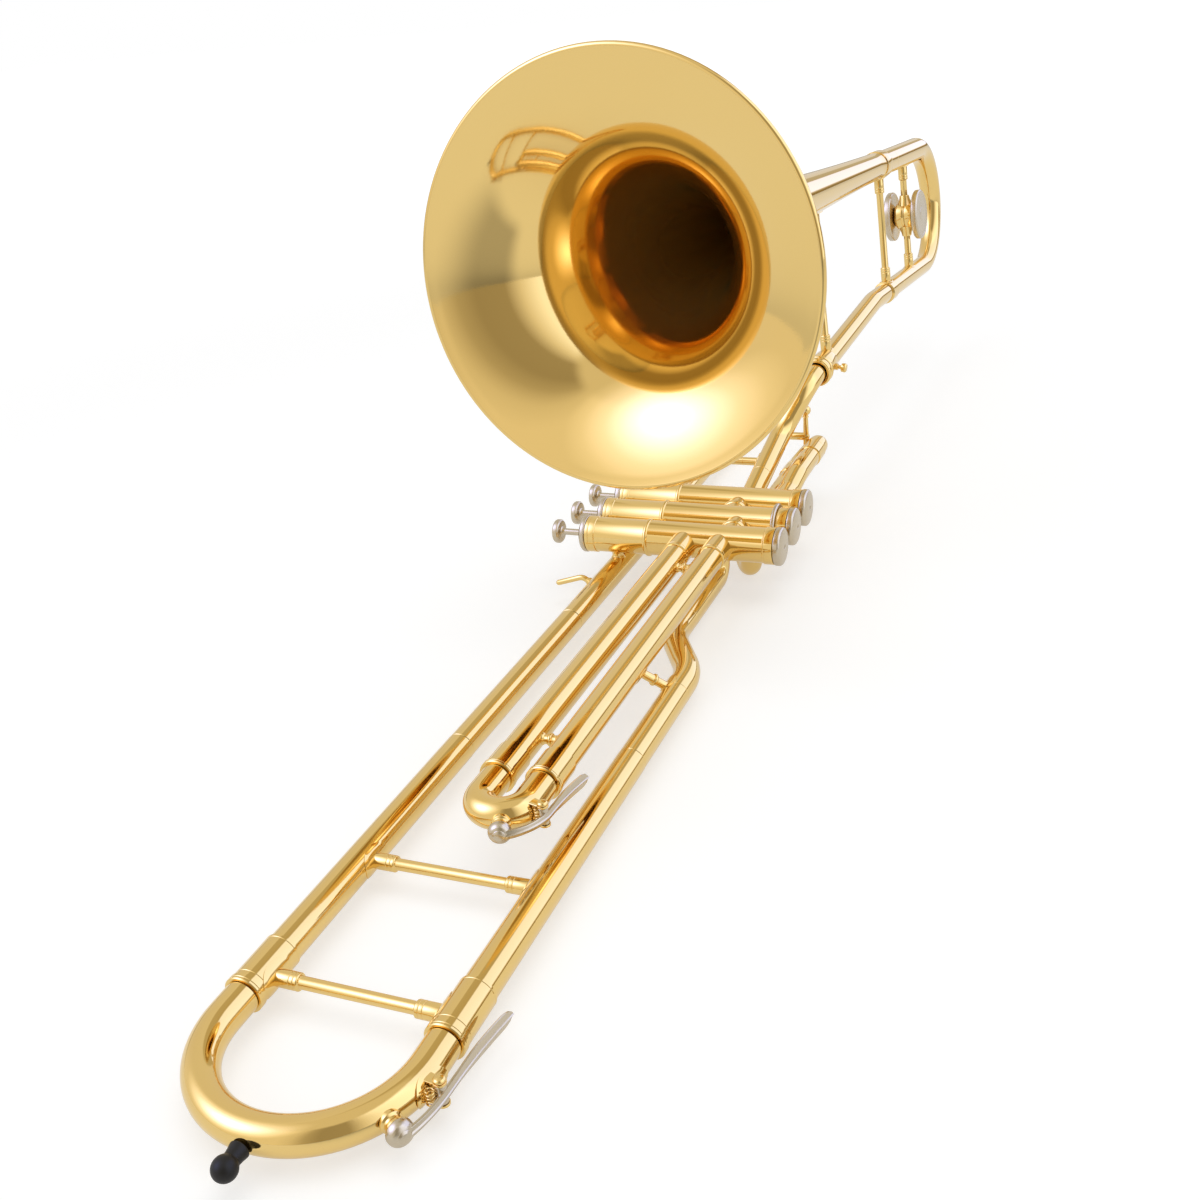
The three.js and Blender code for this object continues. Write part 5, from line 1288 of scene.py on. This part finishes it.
# What metal sees of the studio. Ahead of the bell it goes by the bearing round the upright, from straight
# behind on the left over the front to behind on the right. Behind the bell it goes by the turn about the
# tubes' own line, from the left horizon over the top to the right horizon. Straight above is one grey, and
# one big soft box stands in front on the left.
skyLook = {"soft": 0.5, "peak": 6.0,
           "ahead": ((0.2, (0.84, 0.81, 0.77)), (0.48, (0.88, 0.84, 0.77)), (0.508, (0.76, 0.72, 0.64)),
                     (0.535, (0.5, 0.46, 0.37)), (0.565, (0.38, 0.34, 0.26)), (0.625, (0.4, 0.36, 0.28)),
                     (0.66, (0.88, 0.86, 0.86)), (0.7, (1.25, 1.32, 1.6)), (0.8, (1.5, 1.65, 2.2))),
           "behind": ((0.0, (0.3, 0.24, 0.14)), (0.03, (0.74, 0.7, 0.64)), (0.38, (0.78, 0.75, 0.7)),
                      (0.4, (0.56, 0.5, 0.36)), (0.59, (0.54, 0.47, 0.33)), (0.615, (1.15, 1.25, 1.8)),
                      (0.93, (1.25, 1.38, 2.1)), (0.96, (0.6, 0.52, 0.36)), (0.99, (0.3, 0.22, 0.1))),
           "turnAhead": (-0.45, -0.1), "turnUp": (0.86, 0.94), "above": (0.76, 0.72, 0.64),
           "box": (0.372, -0.644, 0.669),
           "fall": ((0.77, (0.0, 0.0, 0.0)), (0.83, (0.15, 0.16, 0.22)), (0.9, (0.45, 0.5, 0.85)),
                    (0.94, (0.75, 0.85, 1.8)), (0.975, (1.1, 1.35, 3.2)), (1.0, (1.4, 2.0, 4.8)))}
lightLook = (
    {"name": "overhead", "place": (0.1, 0.2, 2.3), "size": (2.4, 2.4), "glow": 1.15},
    {"name": "front", "place": (2.0, -0.9, 1.43), "size": (1.2, 1.0), "glow": 1.5},
    {"name": "behind", "place": (-2.3, 1.2, 1.35), "size": (1.0, 0.8), "glow": 1.5},
)
cameraLook = {"focal": 1354.361341, "frame": 1200, "sensor": 36.0, "clip": (0.01, 50),
              "place": (578.271946, 241.677500, 136.961755),
              "azimuth": 0.428336192, "height": 0.445609834, "roll": -0.105135322}


def makeFloor(look=floorLook):
    half = look["size"] / 2
    corners = [(x, y, 0) for x, y in ((-half, -half), (half, -half), (half, half), (-half, half))]
    mesh = meshOf("floor", corners, [(0, 1, 2, 3)])
    floor = bpy.data.objects.new("floor", mesh)
    bpy.context.scene.collection.objects.link(floor)
    f = Finish("floorPaint")
    rays = f.node("LightPath")
    mirrored = rays["Is Glossy Ray"] + rays["Is Transmission Ray"]
    distance = f.node("VectorMath", {"operation": "LENGTH"}, {0: f.place})["Value"]
    paler = f.eased(distance, *look["reach"], *look["glow"])
    fromMouth = f.node("VectorMath", {"operation": "SUBTRACT"}, {0: f.place, 1: look["mouth"]})
    parts = f.node("SeparateXYZ", values={0: fromMouth})
    bearing = parts["Y"].turnFrom(parts["X"]) * (180 / math.pi)
    reach = f.node("VectorMath", {"operation": "LENGTH"}, {0: fromMouth})["Value"]
    edges = zip((bearing, bearing, reach), look["flag"])
    left, right, near = (f.eased(value, *edge) for value, edge in edges)
    lit = 1 - (left - right) * near
    strength = rays["Is Camera Ray"] * paler + mirrored * look["mirrored"] * lit
    paint = f.node("BsdfDiffuse", values={"Color": look["colour"]})
    glow = f.node("Emission", values={"Color": white, "Strength": strength})
    f.node("OutputMaterial", values={"Surface": f.node("AddShader", values={0: paint, 1: glow})})
    mesh.materials.append(f.material)


def makeWorld(look=skyLook):
    world = bpy.data.worlds.new("studio")
    world.use_nodes = True
    bpy.context.scene.world = world
    sky = Board(world.node_tree)
    rays = sky.node("LightPath")
    seen, mirrored = rays["Is Camera Ray"], rays["Is Glossy Ray"]
    toward = sky.node("TexCoord")["Generated"]
    parts = sky.node("SeparateXYZ", values={0: toward})
    x, y, z = (parts[axis] for axis in "XYZ")

    def shareOfPeak(colour):  # a ramp's colours can't pass 1
        return (*(part / look["peak"] for part in colour), 1)

    def ramped(place, stops):
        stops = [(at, shareOfPeak(colour)) for at, colour in stops]
        return sky.node("ValToRGB", {"stops": stops}, {0: place})

    behind = ramped(y.turnFrom(z) * (1 / math.pi) + 0.5, look["behind"])
    ahead = ramped(y.turnFrom(x) * (0.5 / math.pi) + 0.5, look["ahead"])
    around = sky.mixed(sky.eased(x, *look["turnAhead"]), behind, ahead)
    roofed = sky.mixed(sky.eased(z, *look["turnUp"]), around, shareOfPeak(look["above"]))
    box = Vector(look["box"]).normalized()
    facing = sky.node("VectorMath", {"operation": "DOT_PRODUCT"}, {0: toward, 1: box})["Value"]
    studio = sky.mixed(1.0, roofed, ramped(facing, look["fall"]), "ADD")
    strength = seen + mirrored * look["peak"] + (1 - seen - mirrored) * look["soft"]
    colour = sky.mixed(mirrored, white, studio)
    background = sky.node("Background", values={"Color": colour, "Strength": strength})
    sky.node("OutputWorld", values={"Surface": background})


def makeLights(cards=lightLook):
    low, high = (Vector(corner) for corner in cadBox)
    middle = (low + high) / 2
    for card in cards:
        wide, tall = card["size"]
        lamp = bpy.data.lights.new(card["name"], "AREA")
        lamp.shape = "RECTANGLE"
        lamp.size, lamp.size_y = wide, tall
        lamp.energy = card["glow"] * math.pi * wide * tall
        holder = bpy.data.objects.new(card["name"], lamp)
        holder.location = card["place"]
        holder.visible_glossy = False
        holder.rotation_euler = (middle - Vector(card["place"])).to_track_quat("-Z", "Y").to_euler()
        bpy.context.scene.collection.objects.link(holder)


def makeCamera(look=cameraLook):
    azimuth, height, roll = look["azimuth"], look["height"], look["roll"]
    flat = math.cos(height)
    aim = Vector((-math.cos(azimuth) * flat, -math.sin(azimuth) * flat, -math.sin(height)))
    level = aim.cross(upward).normalized()
    lift = level.cross(aim)
    right = level * math.cos(roll) + lift * math.sin(roll)
    top = lift * math.cos(roll) - level * math.sin(roll)
    data = bpy.data.cameras.new("camera")
    data.sensor_width = look["sensor"]
    data.sensor_fit = "HORIZONTAL"
    data.lens = look["focal"] * look["sensor"] / look["frame"]
    data.clip_start, data.clip_end = look["clip"]
    camera = bpy.data.objects.new("camera", data)
    turn = Matrix((right, top, -aim)).transposed().to_4x4()
    camera.matrix_world = Matrix.Translation(asMetres(look["place"])) @ turn
    bpy.context.scene.collection.objects.link(camera)
    bpy.context.scene.camera = camera


makeFloor()
makeWorld()
makeLights()
makeCamera()
bpy.context.scene.view_settings.view_transform = "Standard"
print("stage: floor, light and camera")
